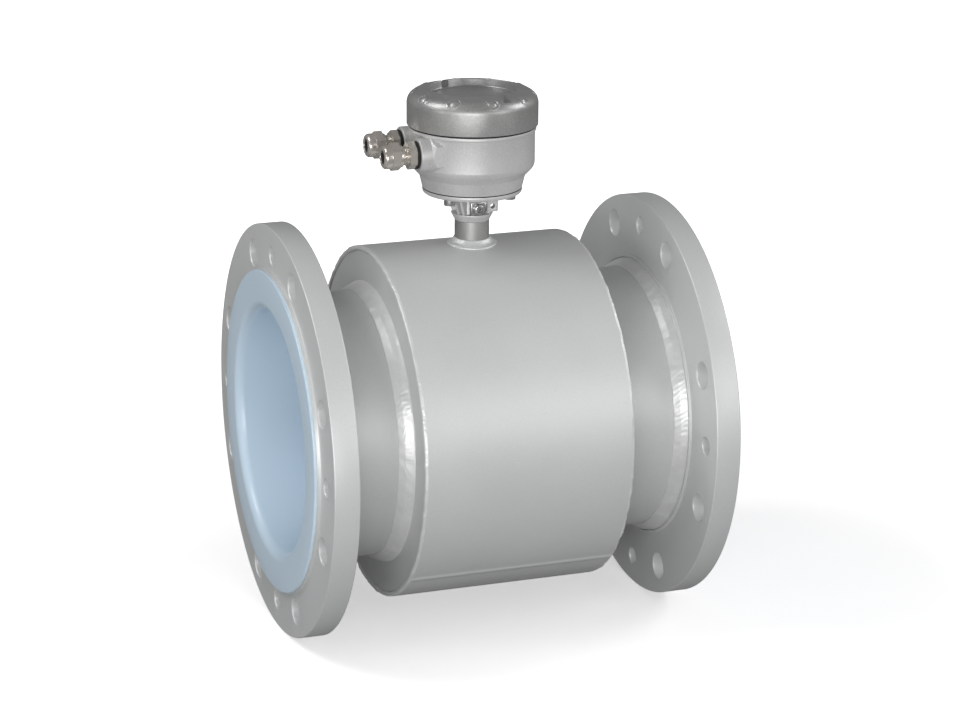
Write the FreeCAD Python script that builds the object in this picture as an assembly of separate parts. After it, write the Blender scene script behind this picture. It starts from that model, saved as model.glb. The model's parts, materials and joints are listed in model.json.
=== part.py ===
import FreeCAD, Part
import math
import os
from FreeCAD import Vector

# Electromagnetic flow sensor, flanged, with a terminal housing on a neck.
# Origin: pipe axis at mid length. X runs along the pipe, inlet at -X. Z is up. Millimetres.

# Flow tube and liner
FACE_TO_FACE = 350.0
TUBE_OD = 219.1
TUBE_WALL = 4.5
LINER_WALL = 4.95
FLARE_THICKNESS = 2.0
FLARE_SETBACK = 1.5
FLARE_EDGE_ROUND = 0.8
ENTRY_ROUND = 8.0

# Flanges
FLANGE_OD = 340.0
RIM_THICKNESS = 21.0
RIM_CHAMFER = 1.0
RAISED_HEIGHT = 3.0
RIM_TO_BOLTS = 22.5
RAISED_TO_BOLTS = 13.5
BOLT_HOLE_D = 22.0
BOLT_COUNT = 8
BOLT_START = 22.5
JACK_HOLE_D = 14.5
JACK_COUNT = 4
JACK_START = 0.0
HOLE_CHAMFER = 0.8
HUB_RING_GAP = 0.25
HUB_RING_WIDTH = 2.6
HUB_RING_HEIGHT = 2.4
HUB_RING_ROUND = 0.8

# Coil housing
HOUSING_ROOM = 15.65
HOUSING_WALL = 3.0
HOUSING_LENGTH = 174.0
PLATE_THICKNESS = 5.0
SHELL_SETBACK = 1.0
SEAM_ANGLE = 225.0
SEAM_WIDTH = 6.0
SEAM_HEIGHT = 0.7

# Welds
FILLET_LEG_ALONG = 12.0
FILLET_LEG_OUT = 7.0
FILLET_TOE = 0.9
FILLET_ROUND = 5.0
EDGE_BEAD_WIDTH = 4.8
EDGE_BEAD_HEIGHT = 1.8
EDGE_BEAD_ROUND = 1.2
NECK_WELD_D = 41.0
NECK_WELD_HEIGHT = 5.5
NECK_WELD_ROUND = 6.0

# Field coils and iron circuit
COIL_LENGTH = 124.0
COIL_SPAN = 150.0
COIL_WIDTH = 16.0
COIL_DEPTH = 10.0
COIL_CORNER = 30.0
POLE_SHOE_THICKNESS = 3.0
POLE_CORE_LENGTH = 60.0
POLE_CORE_WIDTH = 30.0
POLE_CORE_DEPTH = 11.0
YOKE_LENGTH = 70.0
YOKE_THICKNESS = 3.0
YOKE_WINDOW_D = 24.0
YOKE_SCREW_D = 5.0
YOKE_SCREW_HEAD_D = 9.0
YOKE_SCREW_HEAD_HEIGHT = 3.0
YOKE_SCREW_BITE = 6.0
YOKE_SCREW_PITCH_X = 40.0
YOKE_SCREW_PITCH_Y = 16.0

# Electrodes
ELECTRODE_HEAD_D = 13.0
ELECTRODE_HEAD_THICKNESS = 2.0
ELECTRODE_RECESS = 0.2
ELECTRODE_SHANK_D = 6.0
ELECTRODE_SHANK_LENGTH = 20.0
BUSH_D = 10.0
BUSH_FLANGE_D = 18.0
BUSH_FLANGE_THICKNESS = 3.0
ELECTRODE_NUT_FLATS = 10.0
ELECTRODE_NUT_HEIGHT = 5.0

# Neck and head base
NECK_OD = 28.5
NECK_WALL = 2.5
NECK_HEIGHT = 20.0
NECK_DEPTH_IN_HOUSING = 4.0
SPIGOT_LENGTH = 5.5
HEAD_BORE_D = 18.0
CONE_TOP_D = 34.2
CONE_HEIGHT = 5.2
CONE_LIP = 0.9
BASE_CORE_D = 25.0
BASE_PLATE_D = 81.6
BASE_PLATE_THICKNESS = 4.1
BASE_PLATE_ROUND = 2.6
BASE_CORE_HEIGHT = 23.0
RIB_THICKNESS = 2.4
RIB_TOP_REACH = 24.0
RIB_ANGLES = (30.0, 90.0, 150.0, 209.0, 226.0, 318.0)
SEAL_LUG_X = 12.0
SEAL_LUG_WIDTH = 9.2
SEAL_LUG_THICKNESS = 3.0
SEAL_LUG_Y = 15.5
SEAL_LUG_DROP = 14.2
SEAL_LUG_HOLE_D = 4.2
SEAL_LUG_HOLE_RISE = 4.6
SEAL_LUG_ROUND = 1.2
GASKET_THICKNESS = 0.8
GASKET_WIDTH = 5.0
HEAD_SCREW_CIRCLE = 62.0
HEAD_SCREW_ANGLES = (95.0, 215.0, 335.0)
HEAD_SCREW_D = 5.0
HEAD_SCREW_HEAD_D = 9.4
HEAD_SCREW_HEAD_HEIGHT = 5.8
HEAD_SCREW_BITE = 3.6
HEAD_SCREW_SOCKET_FLATS = 4.0
HEAD_SCREW_SOCKET_DEPTH = 2.6

# Ground clamp on the base
GROUND_RISE = 12.0
GROUND_BOSS_WIDTH = 9.6
GROUND_BOSS_HEIGHT = 11.0
GROUND_BOSS_FACE = 15.0
SADDLE_WIDTH = 13.4
SADDLE_HEIGHT = 10.5
SADDLE_THICKNESS = 1.5
SADDLE_WING = 2.6
GROUND_SCREW_D = 5.0
GROUND_SCREW_LENGTH = 6.6
GROUND_HEAD_D = 9.0
GROUND_HEAD_HEIGHT = 3.2
GROUND_HEAD_ROUND = 1.2
CROSS_WIDTH = 1.1
CROSS_LENGTH = 5.2
CROSS_DEPTH = 1.6
GROUND_TRAVEL = 3.2

# Terminal housing
FOOT_OVERHANG = 0.1
FOOT_FLARE = 2.5
HOUSING_BODY_D = 102.0
COLLAR_LIP = 1.0
HOUSING_NECK_STEP = 2.6
FOOT_HEIGHT = 10.4
UNDERSIDE_HEIGHT = 9.0
UNDERSIDE_ROUND = 7.0
WAIST_ROUND = 1.5
BODY_HEIGHT = 27.8
COLLAR_HEIGHT = 3.2
HOUSING_NECK_HEIGHT = 14.0
HOUSING_WALL_T = 4.0
HOUSING_FLOOR = 5.0
FOOT_WALL = 4.4
WIRE_HOLE_D = 20.0

# Cable entries
ENTRY_SPACING = 44.0
ENTRY_RISE = 34.1
SOCKET_REACH = 3.5
SOCKET_D = 27.3
SOCKET_ROUND_LENGTH = 9.0
SOCKET_CHAMFER_LENGTH = 3.4
SOCKET_FLATS = 28.6
SOCKET_EDGE_CHAMFER = 0.6
ENTRY_THREAD_D = 16.0

# Cable glands, lengths measured outwards from the socket face
GLAND_SHANK_LENGTH = 9.0
WASHER_D = 22.4
WASHER_THICKNESS = 2.6
GLAND_FLATS = 20.0
GLAND_HEX_LENGTH = 6.0
GLAND_THREAD_D = 15.2
GLAND_THREAD_LENGTH = 12.9
GLAND_BORE_D = 10.6
INSERT_SEAT_D = 12.8
INSERT_SEAT_START = 12.0
THREAD_SHOWN = 4.8
NUT_COLLAR_D = 18.0
NUT_COLLAR_LENGTH = 2.3
NUT_HEX_LENGTH = 7.0
NUT_DOME_LENGTH = 6.8
NUT_DOME_D = 19.4
NUT_DOME_ROUND = 4.6
NUT_MOUTH_D = 11.2
NUT_LIP = 3.1
HEX_CORNER_CUT = 0.8
INSERT_HOLE_D = 7.0
INSERT_NOSE_TAPER = 1.8
INSERT_NOSE_SET_IN = 0.9
NUT_TRAVEL = 6.0

# Cover
SEAL_THICKNESS = 1.2
SEAL_WIDTH = 3.0
COVER_OVERHANG = 1.5
COVER_SKIRT_CHAMFER = 0.5
COVER_CORNER_RISE = 25.5
SHOULDER_ROUND = 10.0
CROWN_SLOPE = 14.0
CROWN_EDGE_ROUND = 0.7
CROWN_WIDTH = 17.1
RECESS_TAPER = 0.9
RECESS_DEPTH = 7.0
RECESS_ROUND = 1.5
COVER_TOP_WALL = 4.0
COVER_INNER_CHAMFER = 3.4
DIMPLE_COUNT = 10
DIMPLE_FIRST = 269.2
DIMPLE_TILT = 30.0
DIMPLE_SPHERE_R = 8.0
DIMPLE_DEPTH = 1.9
BUTTON_R = 2.9
BUTTON_RISE = 0.3
NOTCH_COUNT = 2
NOTCH_TOP_WIDTH = 8.0
NOTCH_FLOOR_WIDTH = 4.6
NOTCH_DEPTH = 3.8
NOTCH_LENGTH = 17.0
COVER_LIFT = 10.0

# Terminals under the cover
BLOCK_NEAR_X = 10.0
BLOCK_WIDTH = 14.0
BLOCK_LENGTH = 50.0
BLOCK_HEIGHT = 16.0
BLOCK_STEP = 6.0
TERMINAL_COUNT = 6
TERMINAL_SCREW_D = 4.4
TERMINAL_SCREW_SINK = 3.0
TERMINAL_SCREW_HEIGHT = 2.4
TERMINAL_SLOT_WIDTH = 0.8
TERMINAL_SLOT_DEPTH = 0.8
DIVIDER_THICKNESS = 1.2
DIVIDER_HEIGHT = 2.0
EARTH_SCREW_X = -22.0
EARTH_SCREW_Y = 16.0
EARTH_SCREW_D = 4.0
EARTH_HEAD_D = 8.0
EARTH_HEAD_HEIGHT = 3.0
EARTH_PILLAR_D = 10.0
EARTH_PILLAR_HEIGHT = 4.0
EARTH_SCREW_BITE = 5.0

# Inner wiring
LEAD_D = 2.0
LEAD_OFFSET = 3.2
LEAD_ROOM = 7.15
LEAD_BEND = 5.0
LEAD_TURN_RISE = 6.5
LAST_LEAD_RISE = 4.5
LEAD_TERMINALS = (0, 5, 2, 3)

# Clearances
CLOSE_GAP = 0.1
RUN_GAP = 0.3
THREAD_GAP = 0.2
CUT_MARGIN = 5.0

# Levels and places worked out from the sizes above
TUBE_R = TUBE_OD / 2
TUBE_INNER_R = TUBE_R - TUBE_WALL
BORE_R = TUBE_INNER_R - CLOSE_GAP - LINER_WALL
BOLT_CIRCLE = FLANGE_OD - 2 * RIM_TO_BOLTS
RAISED_R = BOLT_CIRCLE / 2 - RAISED_TO_BOLTS
FLARE_R = RAISED_R - FLARE_SETBACK
LINER_FACE_X = FACE_TO_FACE / 2
RAISED_X = LINER_FACE_X - FLARE_THICKNESS
RIM_FRONT_X = RAISED_X - RAISED_HEIGHT
RIM_BACK_X = RIM_FRONT_X - RIM_THICKNESS
COIL_INNER_R = TUBE_R + RUN_GAP
YOKE_INNER_R = COIL_INNER_R + POLE_SHOE_THICKNESS + POLE_CORE_DEPTH
YOKE_OUTER_R = YOKE_INNER_R + YOKE_THICKNESS
HOUSING_INNER_R = YOKE_OUTER_R + HOUSING_ROOM
HOUSING_R = HOUSING_INNER_R + HOUSING_WALL
PLATE_X = HOUSING_LENGTH / 2
SHELL_X = PLATE_X - SHELL_SETBACK
LEAD_RING_R = YOKE_OUTER_R + LEAD_ROOM
LINK_REACH = (COIL_LENGTH - COIL_WIDTH) / 2
NECK_R = NECK_OD / 2
NECK_TOP = HOUSING_R + NECK_HEIGHT
GROUND_LEVEL = NECK_TOP + GROUND_RISE
BASE_PLATE_R = BASE_PLATE_D / 2
BASE_PLATE_LEVEL = NECK_TOP + BASE_CORE_HEIGHT
BASE_TOP = BASE_PLATE_LEVEL + BASE_PLATE_THICKNESS
HEAD_FOOT = BASE_TOP + GASKET_THICKNESS
WAIST_LEVEL = HEAD_FOOT + FOOT_HEIGHT
BODY_LEVEL = WAIST_LEVEL + UNDERSIDE_HEIGHT
COLLAR_LEVEL = BODY_LEVEL + BODY_HEIGHT
COLLAR_TOP = COLLAR_LEVEL + COLLAR_HEIGHT
NECK_RIM = COLLAR_TOP + HOUSING_NECK_HEIGHT
FLOOR_TOP = HEAD_FOOT + HOUSING_FLOOR
FOOT_R = BASE_PLATE_R + FOOT_OVERHANG
WAIST_R = FOOT_R + FOOT_FLARE
BODY_R = HOUSING_BODY_D / 2
COLLAR_R = BODY_R + COLLAR_LIP
HOUSING_NECK_R = BODY_R - HOUSING_NECK_STEP
CAVITY_R = HOUSING_NECK_R - HOUSING_WALL_T
ENTRY_LEVEL = HEAD_FOOT + ENTRY_RISE
SOCKET_FACE = BODY_R + SOCKET_REACH
SEAL_LEVEL = COLLAR_TOP + CLOSE_GAP
COVER_BOTTOM = SEAL_LEVEL + SEAL_THICKNESS + CLOSE_GAP
COVER_R = COLLAR_R + COVER_OVERHANG
COVER_INNER_R = HOUSING_NECK_R + RUN_GAP
COVER_CORNER_Z = COVER_BOTTOM + COVER_CORNER_RISE
RECESS_R = COVER_R - CROWN_WIDTH
RECESS_FLOOR_R = RECESS_R - RECESS_TAPER
GLAND_HEX_END = WASHER_THICKNESS + GLAND_HEX_LENGTH
GLAND_THREAD_END = GLAND_HEX_END + GLAND_THREAD_LENGTH
NUT_START = GLAND_HEX_END + THREAD_SHOWN
NUT_HEX_START = NUT_START + NUT_COLLAR_LENGTH
NUT_HEX_END = NUT_HEX_START + NUT_HEX_LENGTH
NUT_TIP = NUT_HEX_END + NUT_DOME_LENGTH
TERMINAL_PITCH = BLOCK_LENGTH / TERMINAL_COUNT

ORIGIN = Vector(0, 0, 0)
AXES = {"X": Vector(1, 0, 0), "Y": Vector(0, 1, 0), "Z": Vector(0, 0, 1)}


# Drawing helpers

def place(axis, along, a, b):
    """Point at a distance along an axis, with its two cross coordinates in X, Y, Z order."""
    if axis == "X":
        return Vector(along, a, b)
    if axis == "Y":
        return Vector(a, along, b)
    return Vector(a, b, along)


def rounded_wire(corners):
    """Closed wire through (point, radius) corners, each rounded by its own radius."""
    edges = []
    ends = []
    for index, (corner, radius) in enumerate(corners):
        before = (corners[index - 1][0] - corner).normalize()
        after = (corners[(index + 1) % len(corners)][0] - corner).normalize()
        half = before.getAngle(after) / 2
        if not radius:
            ends.append((corner, corner))
            continue
        reach = radius / math.tan(half)
        start = corner + before * reach
        end = corner + after * reach
        bisector = (before + after).normalize()
        middle = corner + bisector * (radius / math.sin(half) - radius)
        edges.append(Part.Arc(start, middle, end).toShape())
        ends.append((start, end))
    for index in range(len(ends)):
        start = ends[index][1]
        end = ends[(index + 1) % len(ends)][0]
        if start.distanceToPoint(end) > Part.Precision.confusion():
            edges.append(Part.LineSegment(start, end).toShape())
    return Part.Wire(Part.__sortEdges__(edges))


def turned(axis, *corners):
    """Solid of revolution. Each corner is (radius, along) or (radius, along, rounding)."""
    points = []
    for corner in corners:
        radius, along = corner[:2]
        cross = (radius, 0) if axis == "Z" or axis == "Y" else (0, radius)
        rounding = corner[2] if len(corner) > 2 else 0
        points.append((place(axis, along, *cross), rounding))
    face = Part.Face(rounded_wire(points))
    return face.revolve(ORIGIN, AXES[axis], 360)


def ring(axis, inner, outer, start, end):
    """Plain ring about an axis through the origin."""
    return turned(axis, (inner, start), (outer, start), (outer, end), (inner, end))


def rod(axis, radius, start, end, a=0.0, b=0.0):
    """Cylinder along an axis, from start to end."""
    return Part.makeCylinder(radius, end - start, place(axis, start, a, b), AXES[axis])


def block(low, high):
    """Box between two corners."""
    size = Vector(*high) - Vector(*low)
    return Part.makeBox(size.x, size.y, size.z, Vector(*low))


def corner_radius(flats):
    """Distance from a hexagon's centre to its corners."""
    return flats / 2 / math.cos(math.radians(30))


def hexagon(axis, flats, start, end, corner_cut=0.0):
    """Hexagon bar about an axis through the origin, two flats facing up and down, corners turned off."""
    corner_r = corner_radius(flats)
    points = []
    for step in range(6):
        angle = math.radians(60 * step)
        points.append((place(axis, start, corner_r * math.cos(angle), corner_r * math.sin(angle)), 0))
    bar = Part.Face(rounded_wire(points)).extrude(AXES[axis] * (end - start))
    if not corner_cut:
        return bar
    rim = corner_r - corner_cut
    turning = turned(
        axis, (0, start), (rim, start), (corner_r, start + corner_cut / 2),
        (corner_r, end - corner_cut / 2), (rim, end), (0, end))
    return bar.common(turning)


def spun(shape, axis, degrees):
    """Copy of a shape, turned about an axis through the origin."""
    copy = shape.copy()
    copy.rotate(ORIGIN, AXES[axis], degrees)
    return copy


def moved(shape, x=0.0, y=0.0, z=0.0):
    """Copy of a shape, moved."""
    copy = shape.copy()
    copy.translate(Vector(x, y, z))
    return copy


def outlet_side(shape):
    """The same piece at the outlet end, or at the rear."""
    return spun(shape, "Z", 180)


def underneath(shape):
    """The same piece below the tube."""
    return spun(shape, "X", 180)


# Flow tube, liner and flanges

def electrode_places(radius, start, end):
    """Cylinders along both electrode axes, between two distances from the pipe axis."""
    front = rod("Y", radius, -end, -start)
    return [front, outlet_side(front)]


def measuring_tube():
    """Steel tube, with a hole for each electrode's bush."""
    tube = ring("X", TUBE_INNER_R, TUBE_R, -RAISED_X, RAISED_X)
    holes = electrode_places(BUSH_D / 2 + CLOSE_GAP, BORE_R, TUBE_R + CUT_MARGIN)
    return tube.cut(holes)


def liner():
    """Lining with a flare over each raised face and a rounded entry."""
    outer = TUBE_INNER_R - CLOSE_GAP
    lining = turned(
        "X",
        (BORE_R, -LINER_FACE_X, ENTRY_ROUND),
        (FLARE_R, -LINER_FACE_X, FLARE_EDGE_ROUND),
        (FLARE_R, -RAISED_X),
        (outer, -RAISED_X),
        (outer, RAISED_X),
        (FLARE_R, RAISED_X),
        (FLARE_R, LINER_FACE_X, FLARE_EDGE_ROUND),
        (BORE_R, LINER_FACE_X, ENTRY_ROUND))
    seat = BORE_R + ELECTRODE_RECESS + ELECTRODE_HEAD_THICKNESS + CLOSE_GAP
    heads = electrode_places(ELECTRODE_HEAD_D / 2 + CLOSE_GAP, BORE_R - CUT_MARGIN, seat)
    shanks = electrode_places(ELECTRODE_SHANK_D / 2 + CLOSE_GAP, BORE_R, TUBE_R)
    return lining.cut(heads + shanks)


def hole_circle(diameter, count, first):
    """Cutters for one circle of flange holes, chamfered at both faces."""
    radius = diameter / 2
    reach = radius + HOLE_CHAMFER
    cutter = turned(
        "X",
        (0, -RIM_FRONT_X - CUT_MARGIN), (reach, -RIM_FRONT_X - CUT_MARGIN), (reach, -RIM_FRONT_X),
        (radius, -RIM_FRONT_X + HOLE_CHAMFER), (radius, -RIM_BACK_X - HOLE_CHAMFER),
        (reach, -RIM_BACK_X), (reach, -RIM_BACK_X + CUT_MARGIN), (0, -RIM_BACK_X + CUT_MARGIN))
    cutter = moved(cutter, z=BOLT_CIRCLE / 2)
    return [spun(cutter, "X", first + step * 360.0 / count) for step in range(count)]


def inlet_flange():
    """Drilled flange with a raised face and a low ring round its weld."""
    bore = TUBE_R + CLOSE_GAP
    rim = FLANGE_OD / 2
    ring_inner = bore + FILLET_LEG_OUT + HUB_RING_GAP
    ring_outer = ring_inner + HUB_RING_WIDTH
    disc = turned(
        "X",
        (bore, -RAISED_X),
        (RAISED_R, -RAISED_X),
        (RAISED_R, -RIM_FRONT_X),
        (rim - RIM_CHAMFER, -RIM_FRONT_X),
        (rim, -RIM_FRONT_X + RIM_CHAMFER),
        (rim, -RIM_BACK_X - RIM_CHAMFER),
        (rim - RIM_CHAMFER, -RIM_BACK_X),
        (ring_outer, -RIM_BACK_X),
        (ring_outer, -RIM_BACK_X + HUB_RING_HEIGHT, HUB_RING_ROUND),
        (ring_inner, -RIM_BACK_X + HUB_RING_HEIGHT, HUB_RING_ROUND),
        (ring_inner, -RIM_BACK_X),
        (bore, -RIM_BACK_X))
    holes = hole_circle(BOLT_HOLE_D, BOLT_COUNT, BOLT_START)
    holes += hole_circle(JACK_HOLE_D, JACK_COUNT, JACK_START)
    return disc.cut(holes)


def tube_fillet(face_x, direction):
    """Fillet weld round the tube, seated on a face at face_x and running the way of direction."""
    root = TUBE_R + CLOSE_GAP
    end = face_x + direction * FILLET_LEG_ALONG
    return turned(
        "X",
        (root, face_x),
        (root + FILLET_LEG_OUT, face_x),
        (root + FILLET_LEG_OUT, face_x + direction * FILLET_TOE),
        (root + FILLET_LEG_OUT / 2, face_x + direction * FILLET_LEG_ALONG / 2, FILLET_ROUND),
        (root + FILLET_TOE, end),
        (root, end))


# Coil housing

def housing_shell():
    """Rolled shell with its lengthwise seam weld and the hole for the neck."""
    shell = ring("X", HOUSING_INNER_R, HOUSING_R, -SHELL_X, SHELL_X)
    crown = HOUSING_R + SEAM_HEIGHT
    sag = HOUSING_R - math.sqrt(HOUSING_R ** 2 - (SEAM_WIDTH / 2) ** 2)
    corner = HOUSING_R - sag
    bead = Part.Arc(
        Vector(-SHELL_X, -SEAM_WIDTH / 2, corner), Vector(-SHELL_X, 0, crown),
        Vector(-SHELL_X, SEAM_WIDTH / 2, corner)).toShape()
    foot = HOUSING_R - HOUSING_WALL / 2
    left = Vector(-SHELL_X, -SEAM_WIDTH / 2, foot)
    right = Vector(-SHELL_X, SEAM_WIDTH / 2, foot)
    sides = [
        Part.LineSegment(bead.Vertexes[-1].Point, right).toShape(),
        Part.LineSegment(right, left).toShape(),
        Part.LineSegment(left, bead.Vertexes[0].Point).toShape()]
    seam = Part.Face(Part.Wire([bead] + sides)).extrude(Vector(2 * SHELL_X, 0, 0))
    seam = spun(seam, "X", SEAM_ANGLE - 90)
    neck_hole = rod("Z", NECK_R + CLOSE_GAP, 0, HOUSING_R + CUT_MARGIN)
    return shell.fuse(seam).removeSplitter().cut(neck_hole)


def inlet_end_plate():
    """Annular plate between tube and shell."""
    return ring(
        "X", TUBE_R + CLOSE_GAP, HOUSING_INNER_R - CLOSE_GAP, -PLATE_X, -PLATE_X + PLATE_THICKNESS)


def inlet_edge_weld():
    """Bead that joins the end plate to the shell's end."""
    inner = HOUSING_R - EDGE_BEAD_WIDTH
    crest = -PLATE_X - EDGE_BEAD_HEIGHT
    return turned(
        "X",
        (HOUSING_R, -SHELL_X),
        (HOUSING_R, crest, EDGE_BEAD_ROUND),
        (inner + EDGE_BEAD_ROUND, crest, EDGE_BEAD_ROUND),
        (inner, -PLATE_X),
        (HOUSING_INNER_R, -PLATE_X),
        (HOUSING_INNER_R, -SHELL_X))


# Field coils, iron circuit and electrodes

def pad(length, span, corner):
    """Upright rounded-rectangle prism over the top of the tube."""
    x = length / 2
    y = span / 2
    outline = [
        (Vector(-x, -y, 0), corner), (Vector(x, -y, 0), corner),
        (Vector(x, y, 0), corner), (Vector(-x, y, 0), corner)]
    return Part.Face(rounded_wire(outline)).extrude(Vector(0, 0, HOUSING_R))


def upper_coil():
    """Saddle coil, wound round the pole shoe and bent to the tube."""
    outer = pad(COIL_LENGTH, COIL_SPAN, COIL_CORNER)
    inner = pad(COIL_LENGTH - 2 * COIL_WIDTH, COIL_SPAN - 2 * COIL_WIDTH, COIL_CORNER - COIL_WIDTH)
    winding = ring("X", COIL_INNER_R, COIL_INNER_R + COIL_DEPTH, -COIL_LENGTH, COIL_LENGTH)
    return winding.common(outer).cut(inner)


def upper_pole_shoe():
    """Curved plate that spreads the field over the tube."""
    length = COIL_LENGTH - 2 * COIL_WIDTH - 2 * RUN_GAP
    span = COIL_SPAN - 2 * COIL_WIDTH - 2 * RUN_GAP
    outer = COIL_INNER_R + POLE_SHOE_THICKNESS
    plate = ring("X", COIL_INNER_R, outer, -COIL_LENGTH, COIL_LENGTH)
    return plate.common(pad(length, span, COIL_CORNER - COIL_WIDTH))


def upper_pole_core():
    """Iron block between pole shoe and yoke."""
    inner = COIL_INNER_R + POLE_SHOE_THICKNESS + CLOSE_GAP
    layer = ring("X", inner, YOKE_INNER_R - CLOSE_GAP, -COIL_LENGTH, COIL_LENGTH)
    x = POLE_CORE_LENGTH / 2
    y = POLE_CORE_WIDTH / 2
    core = layer.common(block((-x, -y, 0), (x, y, HOUSING_R)))
    return core.cut(yoke_screw_rods(YOKE_SCREW_D / 2 + CLOSE_GAP))


def yoke_screw_places():
    """Plan positions of the four screws over a pole core."""
    x = YOKE_SCREW_PITCH_X / 2
    y = YOKE_SCREW_PITCH_Y / 2
    return [(-x, -y), (x, -y), (-x, y), (x, y)]


def yoke_screw_rods(radius):
    """Shanks of the upper yoke screws, or the holes for them."""
    bottom = YOKE_INNER_R - YOKE_SCREW_BITE
    return [rod("Z", radius, bottom, YOKE_OUTER_R, x, y) for x, y in yoke_screw_places()]


def yoke_screws():
    """Screws that clamp both yoke halves on the pole cores, above and below."""
    seat = YOKE_OUTER_R
    screws = []
    for shank, (x, y) in zip(yoke_screw_rods(YOKE_SCREW_D / 2), yoke_screw_places()):
        head = rod("Z", YOKE_SCREW_HEAD_D / 2, seat, seat + YOKE_SCREW_HEAD_HEIGHT, x, y)
        screws.append(shank.fuse(head).removeSplitter())
    return Part.makeCompound(screws + [underneath(screw) for screw in screws])


def front_yoke():
    """Half of the band that carries the flux back round the tube."""
    x = YOKE_LENGTH / 2
    band = ring("X", YOKE_INNER_R, YOKE_OUTER_R, -x, x)
    half = band.common(block((-x, -HOUSING_R, -HOUSING_R), (x, -CLOSE_GAP, HOUSING_R)))
    window = rod("Y", YOKE_WINDOW_D / 2, -HOUSING_R, -YOKE_INNER_R / 2)
    cutters = [window]
    for shank in yoke_screw_rods(YOKE_SCREW_D / 2 + CLOSE_GAP):
        cutters += [shank, underneath(shank)]
    return half.cut(cutters)


def front_electrode():
    """Measuring electrode: flat head in the liner, shank out through the tube."""
    head_face = BORE_R + ELECTRODE_RECESS
    seat = head_face + ELECTRODE_HEAD_THICKNESS
    return turned(
        "Y",
        (0, -head_face), (ELECTRODE_HEAD_D / 2, -head_face), (ELECTRODE_HEAD_D / 2, -seat),
        (ELECTRODE_SHANK_D / 2, -seat), (ELECTRODE_SHANK_D / 2, -seat - ELECTRODE_SHANK_LENGTH),
        (0, -seat - ELECTRODE_SHANK_LENGTH))


def bush_top():
    """Distance from the pipe axis to the bush's outer face."""
    return TUBE_R + CLOSE_GAP + BUSH_FLANGE_THICKNESS


def front_electrode_bush():
    """Insulating bush between electrode and tube."""
    flange = TUBE_R + CLOSE_GAP
    return turned(
        "Y",
        (ELECTRODE_SHANK_D / 2 + CLOSE_GAP, -TUBE_INNER_R - CLOSE_GAP),
        (BUSH_D / 2, -TUBE_INNER_R - CLOSE_GAP),
        (BUSH_D / 2, -flange),
        (BUSH_FLANGE_D / 2, -flange),
        (BUSH_FLANGE_D / 2, -bush_top()),
        (ELECTRODE_SHANK_D / 2 + CLOSE_GAP, -bush_top()))


def front_electrode_nut():
    """Nut that draws the electrode's head into the liner."""
    outer = bush_top() + ELECTRODE_NUT_HEIGHT
    nut = hexagon("Y", ELECTRODE_NUT_FLATS, -outer, -bush_top(), HEX_CORNER_CUT)
    hole = rod("Y", ELECTRODE_SHANK_D / 2 + CLOSE_GAP, -outer - CUT_MARGIN, -TUBE_R)
    return nut.cut(hole)


# Neck and head base

def neck_tube():
    """Short pipe that carries the head."""
    bottom = HOUSING_R - NECK_DEPTH_IN_HOUSING
    return ring("Z", NECK_R - NECK_WALL, NECK_R, bottom, NECK_TOP)


def neck_weld():
    """Weld collar round the neck, seated on the round shell."""
    outer = NECK_WELD_D / 2
    low = HOUSING_R - CUT_MARGIN
    inner = NECK_R + CLOSE_GAP
    collar = turned(
        "Z",
        (inner, low), (outer, low), (outer, HOUSING_R + FILLET_TOE),
        (inner + 2 * FILLET_TOE, HOUSING_R + 2 * FILLET_TOE, NECK_WELD_ROUND / 2),
        (inner + FILLET_TOE, HOUSING_R + NECK_WELD_HEIGHT), (inner, HOUSING_R + NECK_WELD_HEIGHT))
    return collar.cut(rod("X", HOUSING_R + CLOSE_GAP / 2, -HOUSING_R, HOUSING_R))


def head_base():
    """Foot of the head: spigot, cone, ribbed core, base plate, seal lug and ground boss."""
    bore = HEAD_BORE_D / 2
    core = BASE_CORE_D / 2
    lip = NECK_TOP + CONE_HEIGHT
    plate = BASE_PLATE_D / 2
    body = turned(
        "Z",
        (bore, NECK_TOP - SPIGOT_LENGTH),
        (NECK_R - NECK_WALL - CLOSE_GAP, NECK_TOP - SPIGOT_LENGTH),
        (NECK_R - NECK_WALL - CLOSE_GAP, NECK_TOP),
        (NECK_R, NECK_TOP),
        (CONE_TOP_D / 2, lip, CONE_LIP),
        (CONE_TOP_D / 2, lip + CONE_LIP),
        (core, lip + CONE_LIP),
        (core, BASE_PLATE_LEVEL),
        (plate, BASE_PLATE_LEVEL, BASE_PLATE_ROUND),
        (plate, BASE_TOP),
        (bore, BASE_TOP))
    additions = [rib(angle) for angle in RIB_ANGLES] + [seal_lug(), ground_boss()]
    body = body.fuse(additions).removeSplitter()
    cutters = head_screw_holes(BASE_PLATE_LEVEL - CUT_MARGIN, BASE_TOP + CUT_MARGIN)
    cutters.append(rod("Y", SEAL_LUG_HOLE_D / 2, -BASE_PLATE_D, 0, SEAL_LUG_X, seal_lug_hole_level()))
    cutters.append(ground_hole())
    cutters.append(rod("Z", bore, NECK_TOP - SPIGOT_LENGTH, BASE_TOP))
    return body.cut(cutters)


def rib(angle):
    """Gusset between core and base plate."""
    lip = NECK_TOP + CONE_HEIGHT + CONE_LIP / 2
    start = (HEAD_BORE_D + BASE_CORE_D) / 4
    outline = [
        (Vector(start, -RIB_THICKNESS / 2, lip), 0),
        (Vector(CONE_TOP_D / 2 - CONE_LIP, -RIB_THICKNESS / 2, lip), 0),
        (Vector(RIB_TOP_REACH, -RIB_THICKNESS / 2, BASE_PLATE_LEVEL + CONE_LIP), 0),
        (Vector(start, -RIB_THICKNESS / 2, BASE_PLATE_LEVEL + CONE_LIP), 0)]
    web = Part.Face(rounded_wire(outline)).extrude(Vector(0, RIB_THICKNESS, 0))
    return spun(web, "Z", angle)


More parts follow.
